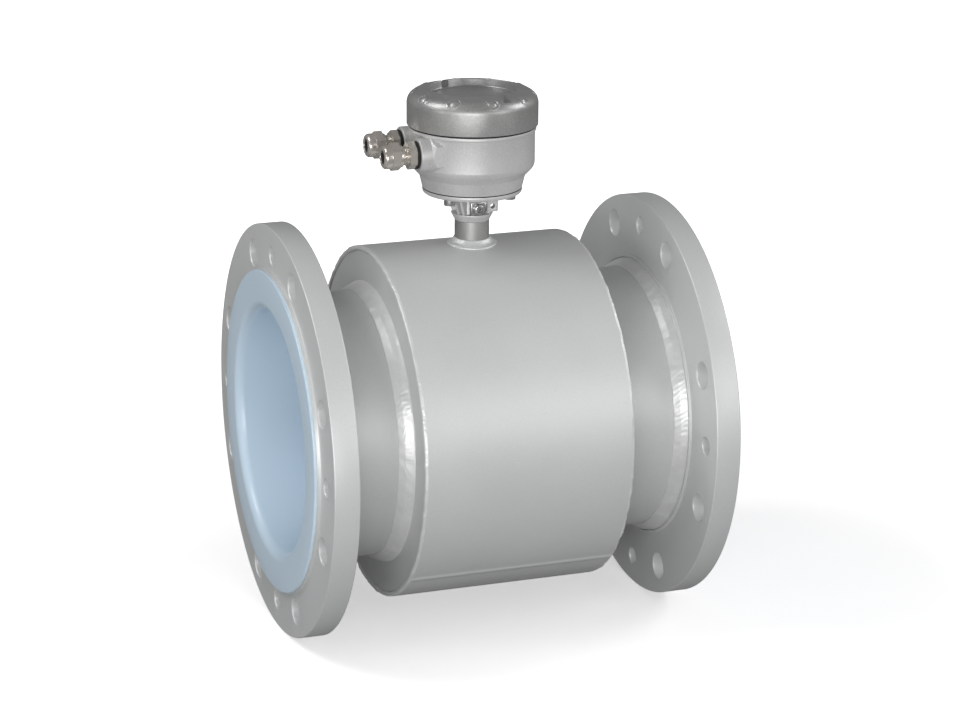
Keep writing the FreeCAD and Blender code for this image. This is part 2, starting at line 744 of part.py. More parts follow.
def seal_lug_hole_level():
    """Height of the sealing-wire hole."""
    return BASE_PLATE_LEVEL - SEAL_LUG_DROP + SEAL_LUG_HOLE_RISE


def seal_lug():
    """Tab under the base plate that takes a sealing wire, and the web that carries it."""
    low = BASE_PLATE_LEVEL - SEAL_LUG_DROP
    top = BASE_PLATE_LEVEL + CONE_LIP
    left = SEAL_LUG_X - SEAL_LUG_WIDTH / 2
    right = SEAL_LUG_X + SEAL_LUG_WIDTH / 2
    front = -SEAL_LUG_Y - SEAL_LUG_THICKNESS / 2
    outline = [
        (Vector(left, front, low), SEAL_LUG_ROUND), (Vector(right, front, low), SEAL_LUG_ROUND),
        (Vector(right, front, top), 0), (Vector(left, front, top), 0)]
    return Part.Face(rounded_wire(outline)).extrude(Vector(0, SEAL_LUG_THICKNESS, 0))


def ground_boss():
    """Square boss on the core for the outer ground clamp."""
    x = GROUND_BOSS_WIDTH / 2
    z = GROUND_BOSS_HEIGHT / 2
    return block((-x, -GROUND_BOSS_FACE, GROUND_LEVEL - z), (x, -HEAD_BORE_D / 2, GROUND_LEVEL + z))


def ground_screw_end():
    """Distance from the neck's axis to the tip of the ground screw."""
    return GROUND_BOSS_FACE + RUN_GAP + SADDLE_THICKNESS + CLOSE_GAP - GROUND_SCREW_LENGTH


def ground_hole():
    """Tapped hole for the ground screw."""
    radius = GROUND_SCREW_D / 2 + THREAD_GAP
    return rod("Y", radius, -BASE_PLATE_D, -ground_screw_end() + RUN_GAP, 0, GROUND_LEVEL)


def ground_saddle():
    """U-shaped clamp that holds the ground wire on the boss."""
    inner = -GROUND_BOSS_FACE - RUN_GAP
    outer = inner - SADDLE_THICKNESS
    x = SADDLE_WIDTH / 2
    z = SADDLE_HEIGHT / 2
    plate = block((-x, outer, GROUND_LEVEL - z), (x, inner, GROUND_LEVEL + z))
    wing = block(
        (-x, inner, GROUND_LEVEL - z), (SADDLE_THICKNESS - x, inner + SADDLE_WING, GROUND_LEVEL + z))
    other_wing = moved(wing, x=SADDLE_WIDTH - SADDLE_THICKNESS)
    clamp = plate.fuse([wing, other_wing]).removeSplitter()
    hole = rod("Y", GROUND_SCREW_D / 2 + THREAD_GAP, -BASE_PLATE_D, 0, 0, GROUND_LEVEL)
    return clamp.cut(hole)


def ground_screw():
    """Pan-head screw with a cross recess."""
    seat = GROUND_BOSS_FACE + RUN_GAP + SADDLE_THICKNESS + CLOSE_GAP
    top = seat + GROUND_HEAD_HEIGHT
    screw = turned(
        "Y",
        (0, -ground_screw_end()), (GROUND_SCREW_D / 2, -ground_screw_end()), (GROUND_SCREW_D / 2, -seat),
        (GROUND_HEAD_D / 2, -seat), (GROUND_HEAD_D / 2, -top, GROUND_HEAD_ROUND), (0, -top))
    long = CROSS_LENGTH / 2
    short = CROSS_WIDTH / 2
    bottom = -top + CROSS_DEPTH
    cross = [
        block((-long, -top - CUT_MARGIN, -short), (long, bottom, short)),
        block((-short, -top - CUT_MARGIN, -long), (short, bottom, long))]
    return moved(screw.cut(cross), z=GROUND_LEVEL)


def base_gasket():
    """Thin ring between base plate and terminal housing."""
    outer = BASE_PLATE_D / 2
    return ring("Z", outer - GASKET_WIDTH, outer, BASE_TOP, HEAD_FOOT)


def head_screw_places():
    """Plan positions of the three screws under the head."""
    radius = HEAD_SCREW_CIRCLE / 2
    places = []
    for angle in HEAD_SCREW_ANGLES:
        turn = math.radians(angle)
        places.append((radius * math.cos(turn), radius * math.sin(turn)))
    return places


def head_screw_holes(start, end):
    """Cutters for the three screws' holes between two levels."""
    radius = HEAD_SCREW_D / 2 + CLOSE_GAP
    return [rod("Z", radius, start, end, x, y) for x, y in head_screw_places()]


def head_screws():
    """Cap screws that hold the terminal housing down on its base."""
    top = HEAD_FOOT + HEAD_SCREW_BITE
    low = BASE_PLATE_LEVEL - HEAD_SCREW_HEAD_HEIGHT
    shape = turned(
        "Z",
        (0, low), (HEAD_SCREW_HEAD_D / 2, low, CONE_LIP / 2), (HEAD_SCREW_HEAD_D / 2, BASE_PLATE_LEVEL),
        (HEAD_SCREW_D / 2, BASE_PLATE_LEVEL), (HEAD_SCREW_D / 2, top), (0, top))
    socket = hexagon("Z", HEAD_SCREW_SOCKET_FLATS, low - CUT_MARGIN, low + HEAD_SCREW_SOCKET_DEPTH)
    screw = shape.cut(socket)
    return Part.makeCompound([moved(screw, x=x, y=y) for x, y in head_screw_places()])


# Terminal housing

def on_entries(shape):
    """A gland piece drawn about the X axis, moved to the front cable entry."""
    return moved(shape, y=-ENTRY_SPACING / 2, z=ENTRY_LEVEL)


def to_rear(shape):
    """The same piece at the rear cable entry, mirrored."""
    return shape.mirror(ORIGIN, AXES["Y"])


def entry_plug(grow=0.0):
    """Outer form of an entry socket: turned nose, chamfered hexagon."""
    nose = rod("X", SOCKET_D / 2 + grow, -SOCKET_FACE, 0)
    hex_start = -SOCKET_FACE + SOCKET_ROUND_LENGTH
    bar = hexagon("X", SOCKET_FLATS + 2 * grow, hex_start, 0)
    corner_r = corner_radius(SOCKET_FLATS) + grow
    turning = turned(
        "X", (0, hex_start), (SOCKET_D / 2 + grow, hex_start),
        (corner_r, hex_start + SOCKET_CHAMFER_LENGTH), (corner_r, 0), (0, 0))
    return on_entries(nose.fuse(bar.common(turning)).removeSplitter())


def cavity():
    """Space inside the terminal housing."""
    return turned(
        "Z",
        (0, FLOOR_TOP), (FOOT_R - FOOT_WALL, FLOOR_TOP, SHELL_SETBACK),
        (WAIST_R - HOUSING_WALL_T, WAIST_LEVEL),
        (CAVITY_R, BODY_LEVEL), (CAVITY_R, NECK_RIM + CUT_MARGIN), (0, NECK_RIM + CUT_MARGIN))


def terminal_housing():
    """Round housing: tapered foot, wider body, collar and the neck that takes the cover."""
    hull = turned(
        "Z",
        (0, HEAD_FOOT),
        (FOOT_R, HEAD_FOOT),
        (WAIST_R, WAIST_LEVEL, WAIST_ROUND),
        (BODY_R, BODY_LEVEL - SHELL_SETBACK, UNDERSIDE_ROUND),
        (BODY_R, COLLAR_LEVEL),
        (COLLAR_R, COLLAR_LEVEL + CONE_LIP / 2),
        (COLLAR_R, COLLAR_TOP, CONE_LIP / 2),
        (HOUSING_NECK_R, COLLAR_TOP),
        (HOUSING_NECK_R, NECK_RIM, CONE_LIP),
        (0, NECK_RIM))
    pillar_top = FLOOR_TOP + EARTH_PILLAR_HEIGHT
    pillar_foot = HEAD_FOOT + HOUSING_FLOOR / 2
    pillar = rod("Z", EARTH_PILLAR_D / 2, pillar_foot, pillar_top, EARTH_SCREW_X, EARTH_SCREW_Y)
    plug = entry_plug(CLOSE_GAP / 2)
    body = hull.cut(cavity()).fuse(pillar).removeSplitter()
    cutters = head_screw_holes(HEAD_FOOT - CUT_MARGIN, HEAD_FOOT + HEAD_SCREW_BITE + CLOSE_GAP)
    cutters += [plug, to_rear(plug)]
    cutters.append(rod("Z", WIRE_HOLE_D / 2, HEAD_FOOT - CUT_MARGIN, FLOOR_TOP + CUT_MARGIN))
    cutters.append(earth_rod(EARTH_SCREW_D / 2 + CLOSE_GAP))
    return body.cut(cutters)


def front_entry_socket():
    """Tapped socket that carries a gland, trimmed to the housing's inner wall."""
    hole = rod("X", ENTRY_THREAD_D / 2, -SOCKET_FACE - CUT_MARGIN, 0)
    mouth = ENTRY_THREAD_D / 2 + SOCKET_EDGE_CHAMFER
    chamfer = turned(
        "X", (0, -SOCKET_FACE - CUT_MARGIN), (mouth, -SOCKET_FACE - CUT_MARGIN), (mouth, -SOCKET_FACE),
        (ENTRY_THREAD_D / 2, -SOCKET_FACE + SOCKET_EDGE_CHAMFER), (0, -SOCKET_FACE + SOCKET_EDGE_CHAMFER))
    trimmed = entry_plug().cut(cavity())
    socket = trimmed.cut([on_entries(hole), on_entries(chamfer)])
    return max(socket.Solids, key=lambda solid: solid.Volume)


# Cable glands

def out(distance):
    """X of a place at a distance outwards from the socket face."""
    return -SOCKET_FACE - distance


def gland_washer():
    """Sealing washer between gland and socket."""
    return on_entries(turned(
        "X",
        (ENTRY_THREAD_D / 2, out(0)), (WASHER_D / 2, out(0), CONE_LIP / 2),
        (WASHER_D / 2, out(WASHER_THICKNESS), CONE_LIP / 2), (ENTRY_THREAD_D / 2, out(WASHER_THICKNESS))))


def gland_body():
    """Gland body: shank in the socket, hexagon, and the thread for its nut."""
    shank = ENTRY_THREAD_D / 2 - CLOSE_GAP
    thread = GLAND_THREAD_D / 2
    barrel = turned(
        "X",
        (GLAND_BORE_D / 2, out(-GLAND_SHANK_LENGTH)), (shank, out(-GLAND_SHANK_LENGTH), CONE_LIP / 2),
        (shank, out(WASHER_THICKNESS)), (thread, out(WASHER_THICKNESS)),
        (thread, out(GLAND_THREAD_END), CONE_LIP / 2), (INSERT_SEAT_D / 2, out(GLAND_THREAD_END)),
        (INSERT_SEAT_D / 2, out(INSERT_SEAT_START)), (GLAND_BORE_D / 2, out(INSERT_SEAT_START)))
    bar = hexagon("X", GLAND_FLATS, out(GLAND_HEX_END), out(WASHER_THICKNESS), HEX_CORNER_CUT)
    bar = bar.cut(rod("X", thread - CONE_LIP, out(GLAND_HEX_END) - CUT_MARGIN, out(0)))
    return on_entries(barrel.fuse(bar).removeSplitter())


def gland_insert():
    """Rubber ring that closes on the cable."""
    start = INSERT_SEAT_START + RUN_GAP
    outer = INSERT_SEAT_D / 2 - RUN_GAP
    nose = NUT_MOUTH_D / 2 - RUN_GAP
    taper_end = NUT_TIP - NUT_LIP - INSERT_NOSE_SET_IN
    return on_entries(turned(
        "X",
        (INSERT_HOLE_D / 2, out(start)), (outer, out(start)),
        (outer, out(taper_end - INSERT_NOSE_TAPER)), (nose, out(taper_end)),
        (nose, out(NUT_TIP - INSERT_NOSE_SET_IN)), (INSERT_HOLE_D / 2, out(NUT_TIP - INSERT_NOSE_SET_IN))))


def gland_nut():
    """Dome-shaped cap nut with a collar and a hexagon."""
    inner = GLAND_THREAD_D / 2 + THREAD_GAP
    mouth = NUT_MOUTH_D / 2
    dome = NUT_DOME_D / 2
    shell = turned(
        "X",
        (0, out(NUT_START)), (NUT_COLLAR_D / 2, out(NUT_START), CONE_LIP / 2),
        (NUT_COLLAR_D / 2, out(NUT_HEX_START)), (dome, out(NUT_HEX_START)),
        (dome, out(NUT_TIP), NUT_DOME_ROUND / 2), (mouth, out(NUT_TIP)), (0, out(NUT_TIP)))
    bar = hexagon("X", GLAND_FLATS, out(NUT_HEX_END), out(NUT_HEX_START), HEX_CORNER_CUT)
    hollow = turned(
        "X",
        (0, out(NUT_START) + CUT_MARGIN), (inner, out(NUT_START) + CUT_MARGIN), (inner, out(NUT_HEX_END)),
        (mouth, out(NUT_TIP - NUT_LIP)), (mouth, out(NUT_TIP + CUT_MARGIN)), (0, out(NUT_TIP + CUT_MARGIN)))
    return on_entries(shell.fuse(bar).removeSplitter().cut(hollow))


# Cover and its seal

def cover_seal():
    """Flat black ring under the cover's skirt."""
    outer = COLLAR_R + RUN_GAP
    return ring("Z", outer - SEAL_WIDTH, outer, SEAL_LEVEL, SEAL_LEVEL + SEAL_THICKNESS)


def crown_height(radius):
    """Height of the cover's sloping crown at a radius, left of its shoulder rounding."""
    return COVER_CORNER_Z + (COVER_R - radius) * math.tan(math.radians(CROWN_SLOPE))


def shoulder_point(tilt):
    """Radius and height on the cover's rounded shoulder where its normal leans out by tilt."""
    half = math.radians(90 - CROWN_SLOPE) / 2
    centre_z = COVER_CORNER_Z - SHOULDER_ROUND * math.tan(half)
    turn = math.radians(tilt)
    radius = COVER_R - SHOULDER_ROUND + SHOULDER_ROUND * math.sin(turn)
    return radius, centre_z + SHOULDER_ROUND * math.cos(turn)


def cover():
    """Screw cover: skirt, rounded shoulder, recessed top, grip dimples and wrench notches."""
    recess = RECESS_R
    rim_z = crown_height(recess)
    floor_z = rim_z - RECESS_DEPTH
    ceiling = floor_z - COVER_TOP_WALL
    shell = turned(
        "Z",
        (COVER_INNER_R, COVER_BOTTOM),
        (COVER_R - COVER_SKIRT_CHAMFER, COVER_BOTTOM),
        (COVER_R, COVER_BOTTOM + COVER_SKIRT_CHAMFER),
        (COVER_R, COVER_CORNER_Z, SHOULDER_ROUND),
        (recess, rim_z, CROWN_EDGE_ROUND),
        (RECESS_FLOOR_R, floor_z, RECESS_ROUND),
        (0, floor_z),
        (0, ceiling),
        (COVER_INNER_R - COVER_INNER_CHAMFER, ceiling),
        (COVER_INNER_R, ceiling - COVER_INNER_CHAMFER))
    pitch = 360.0 / DIMPLE_COUNT
    cutters = [spun(dimple(), "Z", DIMPLE_FIRST + step * pitch) for step in range(DIMPLE_COUNT)]
    for step in range(NOTCH_COUNT):
        cutters.append(spun(notch(rim_z), "Z", DIMPLE_FIRST + pitch / 2 + step * 360.0 / NOTCH_COUNT))
    return shell.cut(cutters)


def dimple():
    """Cutter for one grip dimple on the shoulder: a round hollow that leaves a button standing."""
    hollow_z = DIMPLE_SPHERE_R - DIMPLE_DEPTH
    button_z = BUTTON_RISE - BUTTON_R
    apart = hollow_z - button_z
    below = (DIMPLE_SPHERE_R ** 2 - BUTTON_R ** 2 + apart ** 2) / (2 * apart)
    edge = Vector(math.sqrt(DIMPLE_SPHERE_R ** 2 - below ** 2), 0, hollow_z - below)
    centre = Vector(0, 0, hollow_z)
    button_centre = Vector(0, 0, button_z)
    top = Vector(0, 0, BUTTON_RISE)
    side = Vector(DIMPLE_SPHERE_R, 0, hollow_z)
    on_button = button_centre + ((edge + top) * 0.5 - button_centre).normalize() * BUTTON_R
    on_hollow = centre + ((edge + side) * 0.5 - centre).normalize() * DIMPLE_SPHERE_R
    outline = Part.Wire([
        Part.Arc(top, on_button, edge).toShape(),
        Part.Arc(edge, on_hollow, side).toShape(),
        Part.LineSegment(side, centre).toShape(),
        Part.LineSegment(centre, top).toShape()])
    cutter = Part.Face(outline).revolve(ORIGIN, AXES["Z"], 360)
    radius, height = shoulder_point(DIMPLE_TILT)
    return moved(spun(cutter, "Y", DIMPLE_TILT), x=radius, z=height)


def notch(rim_z):
    """Radial wrench notch through the cover's rim."""
    start = RECESS_FLOOR_R - CROWN_EDGE_ROUND
    top = NOTCH_TOP_WIDTH / 2
    floor = NOTCH_FLOOR_WIDTH / 2
    low = rim_z - NOTCH_DEPTH
    high = rim_z + NOTCH_DEPTH / 2
    outline = [
        (Vector(start, -floor, low), 0), (Vector(start, floor, low), 0),
        (Vector(start, top, high), 0), (Vector(start, -top, high), 0)]
    return Part.Face(rounded_wire(outline)).extrude(Vector(NOTCH_LENGTH, 0, 0))


# Terminals and inner wiring

def terminal_y(index):
    """Y of one terminal."""
    return -BLOCK_LENGTH / 2 + TERMINAL_PITCH * (index + 0.5)


def block_top():
    """Height of the terminal block's upper face."""
    return FLOOR_TOP + BLOCK_HEIGHT


def terminal_block():
    """Moulded block with a dividing fin between terminals and a pocket for each screw."""
    half = BLOCK_LENGTH / 2
    far = BLOCK_NEAR_X + BLOCK_WIDTH
    outline = [
        (Vector(BLOCK_NEAR_X, -half, FLOOR_TOP), 0), (Vector(far, -half, FLOOR_TOP), 0),
        (Vector(far, -half, block_top()), 0), (Vector(BLOCK_NEAR_X + BLOCK_STEP / 2, -half, block_top()), 0),
        (Vector(BLOCK_NEAR_X, -half, block_top() - BLOCK_STEP / 2), 0)]
    body = Part.Face(rounded_wire(outline)).extrude(Vector(0, BLOCK_LENGTH, 0))
    fins = []
    for index in range(TERMINAL_COUNT + 1):
        y = -half + index * TERMINAL_PITCH
        low = min(max(y - DIVIDER_THICKNESS / 2, -half), half - DIVIDER_THICKNESS)
        fins.append(block(
            (BLOCK_NEAR_X + BLOCK_STEP / 2, low, block_top() - DIVIDER_HEIGHT / 2),
            (far, low + DIVIDER_THICKNESS, block_top() + DIVIDER_HEIGHT)))
    body = body.fuse(fins).removeSplitter()
    pockets = []
    for index in range(TERMINAL_COUNT):
        pockets.append(rod(
            "Z", TERMINAL_SCREW_D / 2 + CLOSE_GAP, block_top() - TERMINAL_SCREW_SINK,
            block_top() + CUT_MARGIN, screw_x(), terminal_y(index)))
    return body.cut(pockets)


def screw_x():
    """X of the row of terminal screws."""
    return BLOCK_NEAR_X + (BLOCK_WIDTH + BLOCK_STEP / 2) / 2


def slotted_head(radius, low, high, x, y):
    """Cylinder with a screwdriver slot across its top."""
    head = rod("Z", radius, low, high, x, y)
    slot = block(
        (x - 2 * radius, y - TERMINAL_SLOT_WIDTH / 2, high - TERMINAL_SLOT_DEPTH),
        (x + 2 * radius, y + TERMINAL_SLOT_WIDTH / 2, high + TERMINAL_SLOT_DEPTH))
    return head.cut(slot)


def terminal_screws():
    """Clamping screws of the terminal block."""
    low = block_top() - TERMINAL_SCREW_SINK
    return Part.makeCompound([
        slotted_head(TERMINAL_SCREW_D / 2, low, low + TERMINAL_SCREW_HEIGHT, screw_x(), terminal_y(index))
        for index in range(TERMINAL_COUNT)])


def earth_rod(radius):
    """Shank of the inner ground screw, or the hole for it."""
    top = FLOOR_TOP + EARTH_PILLAR_HEIGHT
    return rod("Z", radius, top - EARTH_SCREW_BITE, top, EARTH_SCREW_X, EARTH_SCREW_Y)


def inner_ground_screw():
    """Ground screw on its pillar inside the terminal housing."""
    seat = FLOOR_TOP + EARTH_PILLAR_HEIGHT
    head = slotted_head(EARTH_HEAD_D / 2, seat, seat + EARTH_HEAD_HEIGHT, EARTH_SCREW_X, EARTH_SCREW_Y)
    return head.fuse(earth_rod(EARTH_SCREW_D / 2)).removeSplitter()


def swept(edges):
    """Wire of the leads' diameter along tangent edges."""
    path = Part.Wire(edges)
    start = path.Edges[0].Vertexes[0].Point
    direction = path.Edges[0].tangentAt(path.Edges[0].FirstParameter)
    section = Part.Wire(Part.Circle(start, direction, LEAD_D / 2).toShape())
    return path.makePipeShell([section], True, False)


def bend(start, corner, end, radius):
    """Arc that rounds a corner of a route, with the places where it starts and ends."""
    before = (start - corner).normalize()
    after = (end - corner).normalize()
    half = before.getAngle(after) / 2
    reach = radius / math.tan(half)
    first = corner + before * reach
    last = corner + after * reach
    middle = corner + (before + after).normalize() * (radius / math.sin(half) - radius)
    return first, Part.Arc(first, middle, last).toShape(), last


def route(points, radius):
    """Edges of a route: straight runs with a tangent arc at each inner point."""
    edges = []
    here = points[0]
    for index in range(1, len(points) - 1):
        first, arc, last = bend(here, points[index], points[index + 1], radius)
        edges.append(Part.LineSegment(here, first).toShape())
        edges.append(arc)
        here = last
    edges.append(Part.LineSegment(here, points[-1]).toShape())
    return edges


def terminal_end(lead):
    """The two route points of a lead's upper end: its turn, and its place inside the terminal block."""
    x, y = lead_places()[lead]
    last = lead == len(lead_places()) - 1
    level = FLOOR_TOP + LEAD_TURN_RISE + (LAST_LEAD_RISE if last else 0)
    goal = Vector(BLOCK_NEAR_X + LEAD_D, terminal_y(LEAD_TERMINALS[lead]), level)
    return goal, Vector(x, y, level)


def lead_places():
    """Plan positions of the four leads in the neck: front and rear electrode, then both coil ends."""
    return [(0, -LEAD_OFFSET), (0, LEAD_OFFSET), (LEAD_OFFSET, 0), (-LEAD_OFFSET, 0)]


def electrode_lead(lead, side):
    """Lead from a terminal down the neck and round the yoke to one electrode."""
    goal, turn = terminal_end(lead)
    join_y = side * (LEAD_OFFSET + LEAD_BEND)
    join_z = math.sqrt((LEAD_RING_R + LEAD_BEND) ** 2 - join_y ** 2)
    centre = Vector(0, join_y, join_z)
    touch = centre * (LEAD_RING_R / (LEAD_RING_R + LEAD_BEND))
    down = Vector(0, side * LEAD_OFFSET, join_z)
    first, arc, last = bend(goal, turn, down, LEAD_BEND / 2)
    bow = (down + touch) * 0.5 - centre
    bow_middle = centre + bow.normalize() * LEAD_BEND
    tip_y = side * (BORE_R + ELECTRODE_RECESS + ELECTRODE_HEAD_THICKNESS + ELECTRODE_SHANK_LENGTH)
    turn_angle = math.asin(LEAD_BEND / (LEAD_RING_R - LEAD_BEND))
    inside = LEAD_RING_R - LEAD_BEND
    low_centre = Vector(0, side * inside * math.cos(turn_angle), inside * math.sin(turn_angle))
    leave = low_centre * (LEAD_RING_R / (LEAD_RING_R - LEAD_BEND))
    arrive = low_centre - Vector(0, 0, LEAD_BEND)
    swing = (leave + arrive) * 0.5 - low_centre
    swing_middle = low_centre + swing.normalize() * LEAD_BEND
    ring_middle = (touch + leave).normalize() * LEAD_RING_R
    edges = [
        Part.LineSegment(goal, first).toShape(), arc, Part.LineSegment(last, down).toShape(),
        Part.Arc(down, bow_middle, touch).toShape(), Part.Arc(touch, ring_middle, leave).toShape(),
        Part.Arc(leave, swing_middle, arrive).toShape(),
        Part.LineSegment(arrive, Vector(0, tip_y, 0)).toShape()]
    return swept(edges).cut(terminal_block())


def electrode_leads():
    """Both electrode leads."""
    return Part.makeCompound([electrode_lead(0, -1), electrode_lead(1, 1)])


def coil_lead(lead, side):
    """Lead from a terminal down the neck and along the housing to the upper coil."""
    goal, turn = terminal_end(lead)
    level = LEAD_RING_R
    coil_top = COIL_INNER_R + COIL_DEPTH
    points = [
        goal, turn, Vector(side * LEAD_OFFSET, 0, level), Vector(side * LINK_REACH, 0, level),
        Vector(side * LINK_REACH, 0, coil_top)]
    return swept(route(points, LEAD_BEND / 2)).cut(terminal_block())


def coil_leads():
    """Both coil leads."""
    return Part.makeCompound([coil_lead(2, 1), coil_lead(3, -1)])


def coil_links():
    """Wires that join the upper coil to the lower one behind the tube."""
    radius = COIL_INNER_R + COIL_DEPTH / 2
    spread = math.asin(min(1.0, (COIL_SPAN / 2 - COIL_CORNER + COIL_WIDTH / 2) / radius))
    links = []
    for side in (-1, 1):
        x = side * LINK_REACH
        start = Vector(x, radius * math.sin(spread), radius * math.cos(spread))
        end = Vector(x, start.y, -start.z)
        arc = Part.Arc(start, Vector(x, radius, 0), end).toShape()
        links.append(swept([arc]).cut([upper_coil(), underneath(upper_coil())]))
    return Part.makeCompound(links)


def build():
    """All pieces by node name."""
    parts = {
        "measuring_tube": measuring_tube(),
        "liner": liner(),
        "housing_shell": housing_shell(),
        "neck_tube": neck_tube(),
        "neck_weld": neck_weld(),
        "head_base": head_base(),
        "base_gasket": base_gasket(),
        "head_screws": head_screws(),
        "ground_saddle": ground_saddle(),
        "ground_screw": ground_screw(),
        "terminal_housing": terminal_housing(),
        "cover": cover(),
        "cover_seal": cover_seal(),
        "yoke_screws": yoke_screws(),
        "terminal_block": terminal_block(),
        "terminal_screws": terminal_screws(),
        "inner_ground_screw": inner_ground_screw(),
        "electrode_leads": electrode_leads(),
        "coil_leads": coil_leads(),
        "coil_links": coil_links(),
    }
    at_both_ends = {
        "flange": inlet_flange(),
        "flange_weld": tube_fillet(-RIM_BACK_X, 1),
        "end_plate": inlet_end_plate(),
        "edge_weld": inlet_edge_weld(),
        "plate_weld": tube_fillet(-PLATE_X, -1),
    }
    for name, shape in at_both_ends.items():
        parts["inlet_" + name] = shape
        parts["outlet_" + name] = outlet_side(shape)
    above_and_below = {
        "coil": upper_coil(),
        "pole_shoe": upper_pole_shoe(),
        "pole_core": upper_pole_core(),
    }
    for name, shape in above_and_below.items():
        parts["upper_" + name] = shape
        parts["lower_" + name] = underneath(shape)
    front_and_rear = {
        "yoke": front_yoke(),
        "electrode": front_electrode(),
        "electrode_bush": front_electrode_bush(),
        "electrode_nut": front_electrode_nut(),
    }
    for name, shape in front_and_rear.items():
        parts["front_" + name] = shape
        parts["rear_" + name] = outlet_side(shape)
    at_each_entry = {
        "entry_socket": front_entry_socket(),
        "gland_washer": gland_washer(),
        "gland_body": gland_body(),
        "gland_insert": gland_insert(),
        "gland_nut": gland_nut(),
    }
    for name, shape in at_each_entry.items():
        parts["front_" + name] = shape
        parts["rear_" + name] = to_rear(shape)
    return parts


def main():
    """Write one file for each piece."""
    os.makedirs("parts", exist_ok=True)
    for name, shape in build().items():
        shape.exportStep(os.path.join("parts", name + ".step"))
        print(name, len(shape.Solids), shape.isValid(), round(shape.Volume, 1))


main()
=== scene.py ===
"""Looks of the electromagnetic flow sensor: finished surfaces, materials, light and camera.

Sizes are in millimetres, as in the part's source, and become metres where vertices are made.
"""

from __future__ import annotations

import json
import logging
import math
from collections.abc import Callable, Iterable
from dataclasses import dataclass, field
from enum import Enum

import bmesh
import bpy
from mathutils import Matrix, Vector, noise

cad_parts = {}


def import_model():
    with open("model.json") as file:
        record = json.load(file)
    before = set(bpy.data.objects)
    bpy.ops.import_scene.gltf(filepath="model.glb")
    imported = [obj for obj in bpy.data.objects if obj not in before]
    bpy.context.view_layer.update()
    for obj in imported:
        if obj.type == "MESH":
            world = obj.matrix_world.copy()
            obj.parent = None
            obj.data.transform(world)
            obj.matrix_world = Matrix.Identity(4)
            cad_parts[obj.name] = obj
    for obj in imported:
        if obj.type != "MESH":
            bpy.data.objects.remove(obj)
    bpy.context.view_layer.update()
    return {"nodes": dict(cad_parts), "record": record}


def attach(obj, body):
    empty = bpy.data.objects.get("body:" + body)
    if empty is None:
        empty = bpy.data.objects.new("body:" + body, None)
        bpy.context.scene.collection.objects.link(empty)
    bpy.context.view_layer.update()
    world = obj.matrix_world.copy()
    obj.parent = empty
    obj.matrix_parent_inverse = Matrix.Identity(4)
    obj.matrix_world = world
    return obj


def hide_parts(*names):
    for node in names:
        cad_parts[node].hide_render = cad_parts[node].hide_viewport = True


LOG = logging.getLogger("flow_sensor")
MM = 0.001
FULL_TURN = 2 * math.pi
MERGE_DISTANCE = 1e-6


class Axis(Enum):
    """Axis a piece is turned about."""

    X = (1.0, 0.0, 0.0)
    Y = (0.0, 1.0, 0.0)
    Z = (0.0, 0.0, 1.0)


class Join(Enum):
    """Way to combine two meshes."""

    CUT = "DIFFERENCE"
    ADD = "UNION"
    KEEP = "INTERSECT"


@dataclass(frozen=True)
class Corner:
    """Corner of a turned profile: radius, place along the axis, rounding and its steps."""

    radius: float
    along: float
    rounding: float = 0.0
    steps: int = 5


# Mesh making


def profile_point(axis: Axis, radius: float, along: float) -> Vector:
    """Point of a profile in metres, in the half plane that is turned."""
    if axis is Axis.X:
        return Vector((along, 0.0, radius)) * MM
    if axis is Axis.Y:
        return Vector((radius, along, 0.0)) * MM
    return Vector((radius, 0.0, along)) * MM


def round_corner(bm: bmesh.types.BMesh, vert: bmesh.types.BMVert, corner: Corner) -> None:
    """Round one vertex of an open or closed wire.

    Args:
        bm: Mesh with the wire.
        vert: Vertex to round.
        corner: Corner with the rounding radius and steps.
    """
    ways = [(edge.other_vert(vert).co - vert.co).normalized() for edge in vert.link_edges]
    half = ways[0].angle(ways[1]) / 2
    bmesh.ops.bevel(
        bm, geom=[vert], offset=corner.rounding * MM / math.tan(half), offset_type="OFFSET",
        segments=corner.steps, profile=0.5, affect="VERTICES", material=-1)


def turned(
    axis: Axis,
    corners: Iterable[Corner],
    steps: int = 128,
    fine: Callable[[float, float], float] | None = None,
) -> bmesh.types.BMesh:
    """Turn a profile about an axis through the origin.

    Args:
        axis: Axis of the turned form.
        corners: Profile corners in order. A profile that starts and ends on the axis is left open there.
        steps: Divisions round the axis.
        fine: Longest profile edge in mm wanted near a radius and place along, or 0 for any length.

    Returns:
        Closed mesh with outward faces.
    """
    corners = list(corners)
    bm = bmesh.new()
    verts = [bm.verts.new(profile_point(axis, corner.radius, corner.along)) for corner in corners]
    for first, second in zip(verts, verts[1:]):
        bm.edges.new((first, second))
    if corners[0].radius or corners[-1].radius:
        bm.edges.new((verts[-1], verts[0]))
    for vert, corner in zip(verts, corners):
        if corner.rounding:
            round_corner(bm, vert, corner)
    if fine:
        refine(bm, axis, fine)
    parts = next(count for count in (16, 12, 8, 5, 4, 1) if steps % count == 0)
    bmesh.ops.spin(
        bm, geom=bm.verts[:] + bm.edges[:], cent=(0, 0, 0), axis=axis.value, dvec=(0, 0, 0),
        angle=FULL_TURN / parts, steps=steps // parts, use_merge=parts == 1, use_duplicate=False)
    if parts > 1:
        bmesh.ops.spin(
            bm, geom=bm.verts[:] + bm.edges[:] + bm.faces[:], cent=(0, 0, 0), axis=axis.value,
            dvec=(0, 0, 0), angle=FULL_TURN * (parts - 1) / parts, steps=parts - 1, use_merge=False,
            use_duplicate=True)
    bmesh.ops.remove_doubles(bm, verts=bm.verts, dist=MERGE_DISTANCE)
    bmesh.ops.recalc_face_normals(bm, faces=bm.faces)
    return bm


def rod(axis: Axis, radius: float, start: float, end: float, steps: int) -> bmesh.types.BMesh:
    """Plain round bar about an axis."""
    corners = [Corner(0, start), Corner(radius, start), Corner(radius, end), Corner(0, end)]
    return turned(axis, corners, steps)


